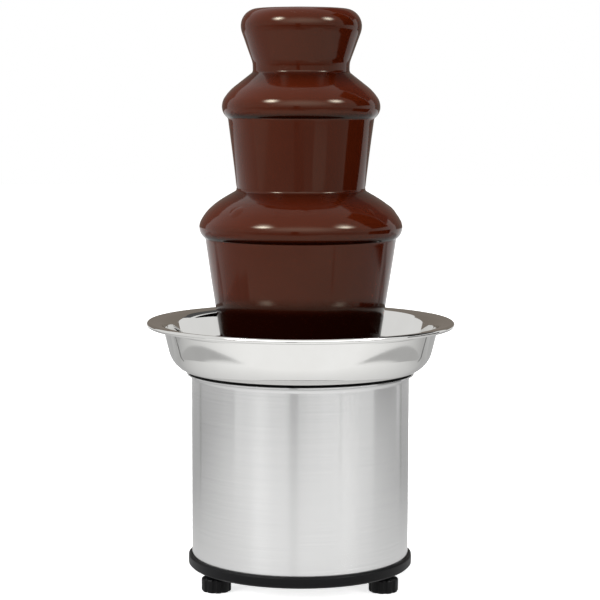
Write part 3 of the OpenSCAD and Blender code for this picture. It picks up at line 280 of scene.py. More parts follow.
# %% Dress the frame
FINISHES = {
    "satin_steel": polished_steel, "polished_steel": polished_steel, "zinc_steel": zinc_steel,
    "black_plastic": black_plastic, "black_rubber": black_rubber, "bronze": bronze,
    "copper_winding": copper_winding, "white_nylon": white_nylon, "chocolate": chocolate,
}
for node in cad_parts.values():
    for held in node.material_slots:
        held.material = FINISHES[held.material.name.split(".")[0]]
print("dressed", len(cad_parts), "pieces of the frame")

# %% [markdown]
# ## Turned shapes
# Most of a fountain is spun on a lathe, so most new pieces are turned here. A section is drawn by moving
# one vertex: a straight stroke extrudes it to a point, and a curved stroke spins it about a centre. Long
# strokes are then subdivided, and the section is spun into one sector, like a slice of cake. Copies of the
# slice, spun on round the axis and merged, make the whole, which is much quicker than spinning every step.
# Drawing with true arcs keeps the normals smooth, which a mirror needs more than it needs many faces.


# %% Section, spin and piece helpers
AROUND, FINE_AROUND, FOLDS = 240, 360, 20
ARC_STEP = 5.0


def draw_section(bm, strokes, grain):
    """Draws a line through strokes in millimetres: points (r, z) and arcs (centre_r, centre_z, degrees)."""
    here = bm.verts.new(Vector((strokes[0][0], 0, strokes[0][1])) * MM)
    for stroke in strokes[1:]:
        if len(stroke) == 2:
            here = bmesh.ops.extrude_vert_indiv(bm, verts=[here])["verts"][0]
            here.co = Vector((stroke[0], 0, stroke[1])) * MM
        else:
            r, z, turn = stroke
            made = bmesh.ops.spin(bm, geom=[here], cent=Vector((r, 0, z)) * MM, axis=(0, -1, 0),
                                  angle=math.radians(turn), steps=max(2, round(abs(turn) / ARC_STEP)))
            here = next(g for g in made["geom_last"] if isinstance(g, bmesh.types.BMVert))
    for edge in bm.edges[:]:
        cuts = int(edge.calc_length() / (grain * MM))
        if cuts:
            bmesh.ops.subdivide_edges(bm, edges=[edge], cuts=cuts)


def turned(strokes, closed=True, grain=50, around=AROUND):
    """A new bmesh with the section spun once round the axis, its normals outwards."""
    bm = bmesh.new()
    draw_section(bm, strokes, grain)
    if closed:
        bm.edges.new([vert for vert in bm.verts if len(vert.link_edges) == 1])
    bmesh.ops.spin(bm, geom=bm.verts[:] + bm.edges[:], cent=(0, 0, 0), axis=(0, 0, 1),
                   angle=math.tau / FOLDS, steps=around // FOLDS)
    bmesh.ops.spin(bm, geom=bm.verts[:] + bm.edges[:] + bm.faces[:], cent=(0, 0, 0), axis=(0, 0, 1),
                   angle=math.tau * (1 - 1 / FOLDS), steps=FOLDS - 1, use_duplicate=True)
    bmesh.ops.remove_doubles(bm, verts=bm.verts[:], dist=0.001 * MM)
    bmesh.ops.recalc_face_normals(bm, faces=bm.faces[:])
    return bm


def piece(name, bm, material, body, slot, *replaced, crease=35):
    """Makes the bmesh an object that rides on a body and stands for the nodes that it replaces."""
    for face in bm.faces:
        face.smooth = True
    for edge in bm.edges:
        edge.smooth = edge.calc_face_angle(0.0) < math.radians(crease)
    mesh = bpy.data.meshes.new(name)
    bm.to_mesh(mesh)
    bm.free()
    mesh.materials.append(material)
    made = bpy.data.objects.new(name, mesh)
    bpy.context.scene.collection.objects.link(made)
    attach(made, body)
    if replaced:
        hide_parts(*replaced)
    print(name, "has", len(mesh.polygons), "faces")
    return made


print("a turned piece has", AROUND, "steps round unless it asks for others, in", FOLDS, "slices")

# %% [markdown]
# ## Basin
# The basin is pressed from one disc: a flat floor, a generous bend, a wall that leans out, a tighter bend
# into a sloping flange, and a bead rolled at the rim. Its upper face is drawn and spun, and solidify then
# gives the sheet its thickness downwards. The normals are put right before that, because afterwards they
# could no longer tell one side of the sheet from the other. A straight run gets one more ring close to each
# end, so that the shading bends only there and the run between them mirrors like a true cone.

# %% Basin
Z_UNDER, SHEET = 150.4, 0.9
CORNER_R, LEAN = 20.0, 14.5
SHOULDER_R, FLANGE, RISE = 6.0, 5.23, 8.0
RIM_R, Z_RIM, BEAD_R, BEAD_TURN = 108.7, 186.6, 1.8, 248
HOLE_R = 9.0
WALL_RINGS, FLANGE_RINGS = (0.04, 0.96), (0.1, 0.9)


def polar(degrees):
    """Unit vector in the section's plane."""
    return Vector((math.cos(math.radians(degrees)), math.sin(math.radians(degrees))))


bead = Vector((RIM_R - BEAD_R, Z_RIM - BEAD_R))
bead_top = bead + BEAD_R * polar(90 + RISE)
flange_foot = bead_top - FLANGE * polar(RISE)
shoulder = flange_foot - (SHOULDER_R + SHEET / 2) * polar(90 + RISE)
wall_top = shoulder + (SHOULDER_R + SHEET / 2) * polar(180 - LEAN)
z_wall_foot = Z_UNDER + CORNER_R - (CORNER_R - SHEET) * math.sin(math.radians(LEAN))
wall_foot = wall_top - (wall_top.y - z_wall_foot) / polar(90 - LEAN).y * polar(90 - LEAN)
bend = wall_foot - (CORNER_R - SHEET) * polar(-LEAN)
wall_rings = [tuple(wall_foot.lerp(wall_top, share)) for share in WALL_RINGS]
flange_rings = [tuple(flange_foot.lerp(bead_top, share)) for share in FLANGE_RINGS]
bm = turned([
    (HOLE_R, Z_UNDER + SHEET), (bend.x, Z_UNDER + SHEET), (*bend, 90 - LEAN), *wall_rings, tuple(wall_top),
    (*shoulder, RISE + LEAN - 90), *flange_rings, tuple(bead_top), (*bead, -BEAD_TURN)],
    closed=False, around=FINE_AROUND)
bmesh.ops.solidify(bm, geom=bm.faces[:], thickness=SHEET * MM)
basin = piece("basin_shell", bm, polished_steel, "base", "polished_steel", "basin")
print("basin from z", round(min(v.co.z for v in basin.data.vertices) / MM, 2), "to",
      round(max(v.co.z for v in basin.data.vertices) / MM, 2), "and floor flat to r", round(bend.x, 2))

# %% [markdown]
# ## Drum
# The drum is a strip of brushed sheet, rolled round, and its top edge is rolled outwards into a small lip
# on which the basin sits. It gets a UV map whose U runs up the wall, which is how the brushed finish knows
# its direction. Dial, switch and cord gland pass through holes at the back, and those are cut like the real
# ones, by a punch for each: the cutter shapes exist only while they cut. A hole is given by its azimuth from
# the back, its height, its half width and half height, and its corners.

# %% Drum
DRUM_R, DRUM_SHEET, Z_DRUM = 77.0, 0.9, 18.8
LIP_R, LIP_TURN, Z_LIP_FOOT, LIP_RING = 3.9, 90, 145.9, 0.8
V_PER_RADIAN = 0.1
PUNCH_LONG = 20
DIAL_HOLE = (20, 88.8, (5.0, 5.0), 32)
SWITCH_HOLE = (-20, 88.8, (7.2 * 2**0.5, 11.8 * 2**0.5), 4)
GLAND_HOLE = (0, 42.8, (7.9, 7.9), 32)
DRUM_HOLES = [DIAL_HOLE, SWITCH_HOLE, GLAND_HOLE]

lip_centre = DRUM_R + LIP_R - DRUM_SHEET / 2
bm = turned([
    (DRUM_R, Z_DRUM), (DRUM_R, Z_LIP_FOOT - LIP_RING), (DRUM_R, Z_LIP_FOOT),
    (lip_centre, Z_LIP_FOOT, -LIP_TURN)], closed=False, around=FINE_AROUND)
bmesh.ops.solidify(bm, geom=bm.faces[:], thickness=-DRUM_SHEET * MM)
bmesh.ops.recalc_face_normals(bm, faces=bm.faces[:])
up_the_wall = bm.loops.layers.uv.new(BRUSH_UV)
for face in bm.faces:
    for loop in face.loops:
        loop[up_the_wall].uv = (loop.vert.co.z, V_PER_RADIAN * math.atan2(loop.vert.co.x, -loop.vert.co.y))
drum = piece("drum_shell", bm, brushed_steel, "base", "satin_steel", "drum")
for turn, z, (half_w, half_h), corners in DRUM_HOLES:
    bm = bmesh.new()
    bmesh.ops.create_cone(bm, cap_ends=True, segments=corners, radius1=MM, radius2=MM,
                          depth=PUNCH_LONG * MM)
    half_corner = Matrix.Rotation(math.pi / corners, 3, "Z")
    bmesh.ops.rotate(bm, verts=bm.verts[:], cent=(0, 0, 0), matrix=half_corner)
    bmesh.ops.scale(bm, verts=bm.verts[:], vec=(half_w, half_h, 1))
    bmesh.ops.rotate(bm, verts=bm.verts[:], cent=(0, 0, 0), matrix=Matrix.Rotation(math.pi / 2, 3, "X"))
    bmesh.ops.translate(bm, verts=bm.verts[:], vec=(0, DRUM_R * MM, z * MM))
    azimuth = Matrix.Rotation(math.radians(turn), 3, "Z")
    bmesh.ops.rotate(bm, verts=bm.verts[:], cent=(0, 0, 0), matrix=azimuth)
    punch = bpy.data.objects.new("punch", bpy.data.meshes.new("punch"))
    bm.to_mesh(punch.data)
    bm.free()
    bpy.context.scene.collection.objects.link(punch)
    cut = drum.modifiers.new("punch", "BOOLEAN")
    cut.object, cut.solver = punch, "EXACT"
    bpy.context.view_layer.update()
    whole = drum.data
    drum.data = bpy.data.meshes.new_from_object(drum.evaluated_get(bpy.context.evaluated_depsgraph_get()))
    drum.modifiers.clear()
    bpy.data.meshes.remove(whole)
    bpy.data.meshes.remove(punch.data)
drum.data.name = "drum_shell"
print("drum with", len(DRUM_HOLES), "holes has", len(drum.data.polygons), "faces")

# %% [markdown]
# ## Gasket
# A ring of black silicone keeps the basin from rattling on the drum. It lies on the lip and reaches down
# inside the drum as a skirt. Squeezed rubber takes the shape of what it lies on, so its underside is drawn
# with the lip's own curve, a little above the steel, and only its thin outer edge shows under the basin.

# %% Gasket
GASKET_IN, SKIRT_OUT, Z_SKIRT, WRAP = 73.6, 75.9, 142.6, 60
gasket_out = lip_centre - (lip_centre - SKIRT_OUT) * polar(WRAP).x
bm = turned([
    (GASKET_IN, Z_UNDER), (GASKET_IN, Z_SKIRT), (SKIRT_OUT, Z_SKIRT), (SKIRT_OUT, Z_LIP_FOOT),
    (lip_centre, Z_LIP_FOOT, -WRAP), (gasket_out, Z_UNDER)])
piece("basin_seal_ring", bm, black_rubber, "base", "black_rubber", "basin_gasket")

# %% [markdown]
# ## Knobs under the base
# The fountain stands on three levelling screws with moulded knobs. A knob is a turned shape first, with a
# slightly dished foot, rounded edges, a neck and a bore for its screw. Its finger flutes are then pushed
# in: every vertex moves towards the axis by how near it is to the middle of a flute, and only outside the
# neck.

# %% Knobs
FOOT_CIRCLE, FOOT_AZIMUTHS = 67.4, (-30, 90, 210)
KNOB_R, EDGE_R, BROW_R, Z_BROW = 10.3, 1.4, 1.6, 8.3
NECK_R, Z_NECK, BORE_R, Z_BORE, HUB_R = 6.4, 12.4, 4.04, 2.96, 4.5
FLUTES, FLUTE_DEPTH, FLUTE_SHAPE = 10, 0.95, 0.8


def ramp(value, start, length):
    """Rises from 0 at the start to 1 after the length."""
    return min(1, max(0, (value - start) / length))


for number, azimuth in enumerate(FOOT_AZIMUTHS, start=1):
    bm = turned([
        (0, 0.15), (3.5, 0), (KNOB_R - EDGE_R, 0), (KNOB_R - EDGE_R, EDGE_R, 90), (KNOB_R, Z_BROW),
        (KNOB_R - BROW_R, Z_BROW, 80), (NECK_R + 1.2, 10.6), (NECK_R, 11.6), (NECK_R, Z_NECK),
        (BORE_R, Z_NECK), (BORE_R, Z_BORE), (0, Z_BORE)], closed=False, grain=1.5, around=160)
    for vert in bm.verts:
        reach = math.hypot(vert.co.x, vert.co.y)
        if reach > HUB_R * MM:
            flute = math.cos(FLUTES * math.atan2(vert.co.y, vert.co.x))
            share = ramp(reach / MM, NECK_R, KNOB_R - NECK_R)
            push = 1 - FLUTE_DEPTH * MM * share * max(0, -flute) ** FLUTE_SHAPE / reach
            vert.co.x *= push
            vert.co.y *= push
    stand = Matrix.Rotation(math.radians(azimuth), 4, "Z") @ Matrix.Translation((FOOT_CIRCLE * MM, 0, 0))
    bmesh.ops.transform(bm, matrix=stand, verts=bm.verts[:])
    piece(f"foot_{number}_fluted_knob", bm, black_plastic, f"foot_{number}_grip", "black_plastic",
          f"foot_{number}_knob")

# %% [markdown]
# ## Running chocolate
# A falling sheet of chocolate clings round the lip of its tier, turns a little under it and drops as a
# curtain that draws in on the way down. Where it lands, it pulls up a small fillet from the coat below. A
# flow's section is made of true arcs: the fillet, the shoulder, the curl and the crease under the curl, from
# which the straight curtain falls. Each is tangent to the next, so the reflections run on without a break.

# %% Flow section
COAT, CURTAIN, CURL_R, TUCK, CREASE_R = 2.2, 2.0, 9.5, 56, 2.5
LAND_R, LAND_GAP = 2.2, 0.12


def angle(v):
    """Direction of a vector in degrees."""
    return math.degrees(math.atan2(v.y, v.x))


def landing(foot, upward, coat_point, coat_up):
    """Centre and turn of the fillet between a falling curtain and the coat on which it lands."""
    off = Vector((upward.y, -upward.x))
    rows = Matrix((off, coat_up)).inverted()
    centre = rows @ Vector((off.dot(foot) + LAND_R + LAND_GAP, coat_up.dot(coat_point) + LAND_R))
    turn = (angle(-coat_up) - angle(-off)) % 360
    return centre, centre - LAND_R * off, turn


def shoulder_arcs(lip, bends):
    """Arcs from the top of a shoulder down to its lip, and where they start; bends rise from the lip."""
    arcs, here, below = [], lip, 0
    for radius, up_to in bends:
        centre = here - radius * polar(below)
        here = centre + radius * polar(up_to)
        arcs.insert(0, (*centre, below - up_to))
        below = up_to
    return arcs, here


def flow_section(lip_r, lip_z, bends, round_r, slope, lip_foot, above_foot, above_up, inner_r):
    """A curtain's direction, its crease, and the strokes of the whole flow from the fillet above it."""
    curl = Vector((lip_r - CURL_R, lip_z))
    rounding = Vector((lip_r - round_r, lip_z))
    shoulder, top = shoulder_arcs(Vector((lip_r, lip_z)), bends)
    fillet, start, turn = landing(above_foot, above_up, top, polar(bends[-1][1]))
    underside_shade = curl + CURL_R * polar(-TUCK)
    upward = (underside_shade - lip_foot).normalized()
    off = Vector((upward.y, -upward.x))
    gap = lip_foot + CREASE_R * off - curl
    along = gap.dot(upward)
    rise = -along - math.sqrt(along**2 - gap.length_squared + (CURL_R + CREASE_R) ** 2)
    crease = curl + gap + rise * upward
    cling = angle(crease - curl)
    inside = curl + (CURL_R - COAT) * polar(cling)
    cone_in = rounding + (round_r - COAT) * polar(90 - slope)
    coat_in = cone_in + (cone_in.x - inner_r) * Vector((-1, math.tan(math.radians(slope))))
    return upward, crease, [
        tuple(start), (*fillet, turn), tuple(top), *shoulder, (*curl, cling),
        (*crease, (angle(-off) - angle(curl - crease)) % 360), tuple(lip_foot),
        (lip_foot.x - CURTAIN, lip_foot.y), tuple(inside), (*curl, -cling), (*rounding, 90 - slope),
        tuple(coat_in)]


CROWN_FOOT, UPPER_FOOT, LOWER_FOOT = Vector((33.8, 359.25)), Vector((44.9, 278.25)), Vector((55.5, 167.4))
upper_fall, upper_crease, upper_strokes = flow_section(
    lip_r=55.4, lip_z=337.0, bends=[(12, 33), (32, 52)], round_r=14.0, slope=38.0,
    lip_foot=UPPER_FOOT, above_foot=CROWN_FOOT, above_up=Vector((0, 1)), inner_r=34.2)
lower_fall, lower_crease, lower_strokes = flow_section(
    lip_r=71.4, lip_z=253.0, bends=[(10, 27), (32, 46), (53, 60)], round_r=20.0, slope=29.0,
    lip_foot=LOWER_FOOT, above_foot=UPPER_FOOT, above_up=upper_fall, inner_r=45.3)
print("the lower curtain leans", round(90 - angle(lower_fall), 1), "degrees and the upper one",
      round(90 - angle(upper_fall), 1))

# %% [markdown]
# ## Ripples
# A perfectly turned flow would look like glazed china. Real chocolate runs unevenly: on the wide tier its
# swells lie about 13 mm apart and stand half a millimetre high, and they die out towards the lip and the
# landing, yet they fray the edge of every reflection. The curtains billow less, most of all halfway down,
# and not at all at the lip and the landing, which hold them. Noise sampled in plan, so that it closes round
# the axis, moves the skin's vertices: the swells along their normals, and the billows outwards.

# %% Flows of the tiers
SKIN_GRAIN, FACES_OUT = 1.6, 0.4
BILLOWS_ROUND, BILLOW_LONG = 2.6, 90
SWELL_APART, SWELL_LONG = 13, 40
LIP_CALM, LIP_FADE, LAND_CALM, LAND_FADE = 8, 16, 2, 4


def swell(co):
    """Noise of the swells on a tier."""
    plan = co.xy / (SWELL_APART * MM)
    return noise.noise(Vector((plan.x, plan.y, (co.z + co.xy.length) / (SWELL_LONG * MM))))


def billow_out(outward, z):
    """Noise of a curtain's billows."""
    plan = outward * BILLOWS_ROUND
    return noise.noise(Vector((plan.x, plan.y, z / (BILLOW_LONG * MM))))


def run_down(bm, z_fall, z_foot, billow, swells=0.0, r_land=0.0):
    """Gives a flow billows from z_fall to z_foot, and swells outside r_land, where another flow lands."""
    bm.normal_update()
    moves = {}
    for vert in bm.verts:
        outward = Vector((vert.co.x, vert.co.y, 0)).normalized()
        fall = (z_fall * MM - vert.co.z) / ((z_fall - z_foot) * MM)
        if 0 < fall < 1:
            held = 4 * fall * (1 - fall)
            moves[vert] = outward * held * billow * MM * billow_out(outward, vert.co.z)
        elif vert.normal.dot(outward) + vert.normal.z > FACES_OUT:
            share = ramp(vert.co.z / MM - z_fall, LIP_CALM, LIP_FADE)
            share *= ramp(vert.co.xy.length / MM - r_land, LAND_CALM, LAND_FADE)
            moves[vert] = vert.normal * share * swells * MM * swell(vert.co)
    for vert, move in moves.items():
        vert.co += move
    bmesh.ops.recalc_face_normals(bm, faces=bm.faces[:])


bm = turned(lower_strokes, grain=SKIN_GRAIN, around=FINE_AROUND)
run_down(bm, lower_crease.y - 1, LOWER_FOOT.y, billow=0.5, swells=2.0, r_land=UPPER_FOOT.x)
piece("lower_chocolate", bm, chocolate, "lower_tier_set", "chocolate", "lower_flow", crease=50)
bm = turned(upper_strokes, grain=SKIN_GRAIN, around=FINE_AROUND)
run_down(bm, upper_crease.y - 1, UPPER_FOOT.y, billow=0.3, swells=0.08, r_land=CROWN_FOOT.x)
piece("upper_chocolate", bm, chocolate, "upper_tier_set", "chocolate", "upper_flow", crease=50)

# %% [markdown]
# ## Crown
# At the top the screw pushes chocolate up into a cup. It wells over the rim all round, domed in the middle,
# clings to the cup's cone and leaves it as a short curtain. Inside, the section follows the cup's wall and
# collar, so that the cup stays in it like a spoon in honey when the crown is lifted off.

# %% Crown
Z_CLING = 384.0
OUTSIDE = [
    (0, 406.4), (30.765, 404.987), (30.2, 393.0, -87.3), (28.2, 393.0, -20), (34.645, 369.77),
    (47.8, 364.98, 20), tuple(CROWN_FOOT)]
INSIDE = [
    (31.8, 359.25), (31.8, 362.85), (30.5, 363.35), (39.4, 394.0), (38.4, 394.0), (29.5, 363.85),
    (27.5, 362.85), (21.15, 362.85), (21.15, 376.35), (18.4, 376.35), (18.4, 384.35), (0, 384.35)]
bm = turned(OUTSIDE + INSIDE, closed=False, grain=SKIN_GRAIN, around=300)
run_down(bm, Z_CLING, CROWN_FOOT.y, billow=0.25)
piece("crown_chocolate", bm, chocolate, "crown_set", "chocolate", "crown_flow", crease=50)

# %% [markdown]
# ## Pool
# The chocolate runs back into the basin and stands there as a pool. The falling curtain drags a fillet up
# round its foot and sends out a few low rings, which die away towards the wall.

# %% Pool
Z_POOL, POOL_IN, POOL_FIT, TUCKED_IN = 167.0, 29.6, 0.04, 0.4
RING_FROM, RING_APART, RING_HIGH, RING_REACH = 3, 7, 0.16, 14
pool_fillet, pool_start, pool_turn = landing(LOWER_FOOT, lower_fall, Vector((0, Z_POOL)), Vector((0, 1)))
pool_bend = CORNER_R - SHEET - POOL_FIT
pool_wall = bend + pool_bend * polar(-LEAN)
pool_edge = pool_wall + (Z_POOL - pool_wall.y) / polar(90 - LEAN).y * polar(90 - LEAN)
bm = turned([
    tuple(pool_start), (*pool_fillet, pool_turn), tuple(pool_edge), tuple(pool_wall), (*bend, LEAN - 90),
    (POOL_IN, Z_UNDER + SHEET + POOL_FIT), (POOL_IN, Z_POOL), (pool_start.x - TUCKED_IN, Z_POOL)],
    grain=1.2, around=300)
for vert in bm.verts:
    out = vert.co.xy.length / MM - pool_start.x
    if abs(vert.co.z - Z_POOL * MM) < 0.01 * MM and out > RING_FROM:
        dip = 1 - math.cos(math.tau * (out - RING_FROM) / RING_APART)
        vert.co.z -= RING_HIGH * MM * dip * math.exp(-out / RING_REACH)
piece("pool_chocolate", bm, chocolate, "base", "chocolate", "chocolate_pool", crease=50)

# %% [markdown]
# ## Studio
# A white sweep, a soft sky and softboxes give the picture's light. The sweep and the sky read white to the
# camera, by their Light Path, while the light that they throw stays moderate. In mirrored rays the sweep is
# shaded: close to the fountain it is white in front and grey behind, and far out it is the other way round.
# That gives the steel its darks and lights from side to side and from top to foot.

# %% Sky and sweep
SKY_LIGHT, MORE_SHOWN, MORE_MIRRORED = 0.2, 0.8, 0.62
scene = bpy.context.scene

scene.world = bpy.data.worlds.new("white_studio")
scene.world.use_nodes = True
tree = scene.world.node_tree
tree.nodes.clear()
path = add(tree, "ShaderNodeLightPath")
plain = add(tree, "ShaderNodeMath", {0: path.outputs["Is Camera Ray"], 1: MORE_SHOWN, 2: SKY_LIGHT},
            operation="MULTIPLY_ADD")
level = add(tree, "ShaderNodeMath", {0: path.outputs["Is Glossy Ray"], 1: MORE_MIRRORED,
                                     2: plain.outputs[0]}, operation="MULTIPLY_ADD")
sky = add(tree, "ShaderNodeBackground", {"Color": linear("ffffff"), "Strength": level.outputs[0]})
add(tree, "ShaderNodeOutputWorld", {"Surface": sky.outputs[0]})

sweep = bpy.data.materials.new("white_paper_sweep")
sweep.use_nodes = True
tree = sweep.node_tree
shader = tree.nodes["Principled BSDF"]
shader.inputs["Roughness"].default_value = 0.9
shader.inputs["Specular IOR Level"].default_value = 0.1
shader.inputs["Emission Color"].default_value = linear("ffffff")
path = add(tree, "ShaderNodeLightPath")
place = add(tree, "ShaderNodeTexCoord").outputs["Object"]
away = add(tree, "ShaderNodeVectorMath", {0: place}, operation="LENGTH")
depth = add(tree, "ShaderNodeSeparateXYZ", {0: place})
paper = add(tree, "ShaderNodeMix", {0: path.outputs["Is Camera Ray"], 6: linear("989898"),
                                    7: linear("f4f4f4")}, data_type="RGBA")
white = add(tree, "ShaderNodeMapRange", {"Value": away.outputs["Value"], "From Min": 0.2, "From Max": 0.9,
                                         "To Min": 0.78, "To Max": 1.0})
shown = add(tree, "ShaderNodeMath", {0: path.outputs["Is Camera Ray"], 1: white.outputs[0]},
            operation="MULTIPLY")
near = add(tree, "ShaderNodeMapRange", {"Value": depth.outputs["Y"], "From Min": -0.25, "From Max": 0.3,
                                        "To Min": 1.03, "To Max": 0.46})
far = add(tree, "ShaderNodeMapRange", {"Value": depth.outputs["Y"], "From Min": -3.0, "From Max": 0.8,
                                       "To Min": 0.2, "To Max": 0.85})
fade = add(tree, "ShaderNodeMapRange", {"Value": away.outputs["Value"], "From Min": 0.5, "From Max": 1.1},
           interpolation_type="SMOOTHSTEP")
mirrored = add(tree, "ShaderNodeMix", {0: fade.outputs[0], 2: near.outputs[0], 3: far.outputs[0]})
glow = add(tree, "ShaderNodeEmission", {"Strength": mirrored.outputs[0]})
both = add(tree, "ShaderNodeMixShader", {0: path.outputs["Is Glossy Ray"], 1: shader.outputs[0],
                                         2: glow.outputs[0]})
tree.links.new(paper.outputs[2], shader.inputs["Base Color"])
tree.links.new(shown.outputs[0], shader.inputs["Emission Strength"])
tree.links.new(both.outputs[0], tree.nodes["Material Output"].inputs["Surface"])
print("made", scene.world.name, "and", sweep.name)

# %% [markdown]
# ## Flags and boards
# Shiny things need something dark to mirror, or their shape is lost, so flags and boards in greys stand and
# lie round the fountain. They show in reflections only, as flags outside the picture would. A flag is given
# by its colour, its size and its place in metres. Two curved boards on the floor draw the grey wedges on
# the basin: each lies between two circles that cross in front, and bridging the circles and cutting the
# ring to length makes both at once.


# %% Flags and boards
def card(name, material, bm, place):
    """A card or cloth of the studio, which is no part of the fountain and shows in reflections only."""
    bmesh.ops.transform(bm, matrix=place, verts=bm.verts[:])
    mesh = bpy.data.meshes.new(name)
    bm.to_mesh(mesh)
    bm.free()
    mesh.materials.append(material)
    made = bpy.data.objects.new(name, mesh)
    scene.collection.objects.link(made)
    made.visible_camera = made.visible_diffuse = made.visible_shadow = made.visible_transmission = False
    return made


def sheet(width, height):
    """A flat sheet with a UV map over its whole face."""
    bm = bmesh.new()
    bm.loops.layers.uv.new("face")
    bmesh.ops.create_grid(bm, x_segments=1, y_segments=1, size=0.5, calc_uvs=True)
    bmesh.ops.scale(bm, verts=bm.verts[:], vec=(width, height, 1))
    return bm


def standing(azimuth, distance, height):
    """Place of an upright card that faces the axis from an azimuth, 0 being the camera's side."""
    around = Matrix.Rotation(math.radians(azimuth), 4, "Z")
    return around @ Matrix.Translation((0, -distance, height)) @ Matrix.Rotation(math.pi / 2, 4, "X")


def lying(x, y, turn=0):
    """Place of a card that lies on the floor."""
    return Matrix.Translation((x, y, MM)) @ Matrix.Rotation(math.radians(turn), 4, "Z")


def cloth(name, colour):
    """A plain cloth whose colour is what reflections show of it."""
    material = bpy.data.materials.new(name + "_cloth")
    material.use_nodes = True
    tree = material.node_tree
    tree.nodes.clear()
    glow = add(tree, "ShaderNodeEmission", {"Color": linear(colour)})
    add(tree, "ShaderNodeOutputMaterial", {"Surface": glow.outputs[0]})
    return material


floor = card("floor", sweep, sheet(12, 12), Matrix())
floor.visible_camera = floor.visible_diffuse = floor.visible_shadow = floor.visible_transmission = True
FLAGS = {
    "flag_right_low": ("050404", (0.42, 0.18), standing(97, 0.62, 0.17)),
    "flag_left_low": ("b0b0b0", (0.34, 0.06), standing(-103, 0.4, 0.08)),
    "flag_left_soft": ("bcbcbc", (0.1, 0.06), standing(-73, 0.4, 0.08)),
    "flag_rear_low": ("b4b4b4", (1.6, 0.08), standing(180, 0.5, 0.04)),
    "flag_right_high": ("050404", (0.34, 0.8), standing(100, 0.62, 0.8)),
    "flag_right_back": ("505050", (1.5, 2.0), standing(145, 1.6, 1.95)),
    "flag_back": ("807870", (2.5, 1.03), standing(180, 1.2, 0.685)),
    "flag_camera": ("606060", (0.18, 0.5), standing(-6.3, 1.25, 0.25)),
    "board_front": ("aaaaaa", (0.3, 0.5), lying(-0.05, -0.95)),
    "board_right": ("ffffff", (0.4, 0.7), lying(0.45, -0.72, 32)),
    "board_left": ("f0f0f0", (0.5, 0.7), lying(-1.35, -0.55)),
    "strip_left": ("5a5a5a", (0.011, 0.15), standing(-121, 0.42, 0.075)),
    "strip_right": ("5a5a5a", (0.011, 0.15), standing(123, 0.42, 0.075)),
    "strip_front": ("909090", (0.014, 0.14), standing(40, 0.6, 0.07)),
}
for name, (colour, size, place) in FLAGS.items():
    card(name, cloth(name, colour), sheet(*size), place)

INNER_CIRCLE, OUTER_CIRCLE, BOARD_FRONT, BOARD_BACK = (0.4105, 0.1015), (0.4575, 0.158), -0.236, 0.235
bm = bmesh.new()
for radius, centre in (INNER_CIRCLE, OUTER_CIRCLE):
    bmesh.ops.create_circle(bm, segments=96, radius=radius, matrix=Matrix.Translation((0, centre, 0)))
bmesh.ops.bridge_loops(bm, edges=bm.edges[:])
past_ends = [f for f in bm.faces if not BOARD_FRONT < f.calc_center_median().y < BOARD_BACK]
bmesh.ops.delete(bm, geom=past_ends, context="FACES")
card("boards_curved", cloth("boards_curved", "b5b5b5"), bm, lying(0, 0))
print("flags and boards:", len(FLAGS) + 1)

# %% [markdown]
# ## Softboxes
# The cloth front of a softbox glows brightest in its middle, so its image in a wet surface has a soft edge.
# A lamp lights the fountain but isn't mirrored, and a glowing cloth is mirrored only, so the two can stand
# where each does its work: the lamps low, for the curtains, and one overhead for the tops of the tiers, and
# the cloths higher. Between the two cloths hangs a broad, dim one that draws a pale band along the lips. A
# cloth's image that the basin throws onto the chocolate is dimmed by the number of mirrors that it passed.


# %% Softboxes
TWICE_MIRRORED = 0.12
AIM = Vector((0, 0, 0.25))


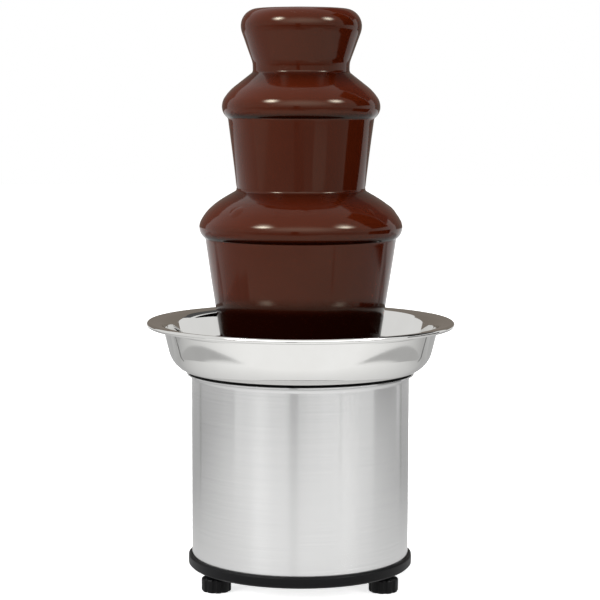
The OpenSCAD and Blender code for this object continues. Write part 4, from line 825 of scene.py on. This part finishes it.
def softbox(name, azimuth, height, distance, size, power=0, glow=0.0, core=1.0):
    """A lamp that faces the tower, or a cloth with that glow in the middle, which a higher core gathers."""
    around = math.radians(azimuth)
    where = Vector((distance * math.sin(around), -distance * math.cos(around), height))
    turn = (AIM - where).to_track_quat("-Z", "Y")
    if power:
        lamp = bpy.data.objects.new(name, bpy.data.lights.new(name, "AREA"))
        lamp.data.shape, lamp.data.size, lamp.data.size_y = "RECTANGLE", *size
        lamp.data.energy = power
        lamp.location, lamp.rotation_euler = where, turn.to_euler()
        lamp.visible_camera = lamp.visible_glossy = False
        scene.collection.objects.link(lamp)
    if glow:
        front = bpy.data.materials.new(name + "_cloth")
        front.use_nodes = True
        tree = front.node_tree
        tree.nodes.clear()
        across = add(tree, "ShaderNodeTexCoord").outputs["UV"]
        spot = add(tree, "ShaderNodeVectorMath", {0: across, 1: (0.5, 0.5, 0)}, operation="DISTANCE")
        fade = add(tree, "ShaderNodeMapRange", {"Value": spot.outputs["Value"], "From Min": 0.0,
                                                "From Max": 0.5, "To Min": 1.0, "To Max": 0.0},
                   interpolation_type="SMOOTHSTEP")
        gathered = add(tree, "ShaderNodeMath", {0: fade.outputs[0], 1: core}, operation="POWER")
        bounces = add(tree, "ShaderNodeLightPath").outputs["Glossy Depth"]
        seen = add(tree, "ShaderNodeMapRange", {"Value": bounces, "From Min": 1.0, "From Max": 2.0,
                                                "To Min": glow, "To Max": TWICE_MIRRORED * glow})
        level = add(tree, "ShaderNodeMath", {0: gathered.outputs[0], 1: seen.outputs[0]},
                    operation="MULTIPLY")
        shine = add(tree, "ShaderNodeEmission", {"Strength": level.outputs[0]})
        see_through = add(tree, "ShaderNodeBsdfTransparent")
        both = add(tree, "ShaderNodeAddShader", {0: shine.outputs[0], 1: see_through.outputs[0]})
        add(tree, "ShaderNodeOutputMaterial", {"Surface": both.outputs[0]})
        card(name + "_front", front, sheet(*size), Matrix.Translation(where) @ turn.to_matrix().to_4x4())


softbox("softbox_left", -49, 1.4, 1.5, (1.3, 1.3), glow=45, core=3.0)
softbox("softbox_right", 57, 1.35, 1.5, (1.3, 1.3), glow=32, core=3.0)
softbox("lamp_left", -47, 0.5, 1.5, (0.8, 0.5), power=16)
softbox("lamp_right", 55, 0.5, 1.5, (0.8, 0.5), power=14)
softbox("lamp_side", -80, 0.5, 1.5, (0.8, 0.5), power=12)
softbox("lamp_above", 0, 1.9, 0.0, (0.55, 0.55), power=38)
softbox("cloth_front", 0, 1.15, 1.6, (5.0, 1.8), glow=2.1)
print("studio ready, with", len(bpy.data.lights), "lamps")
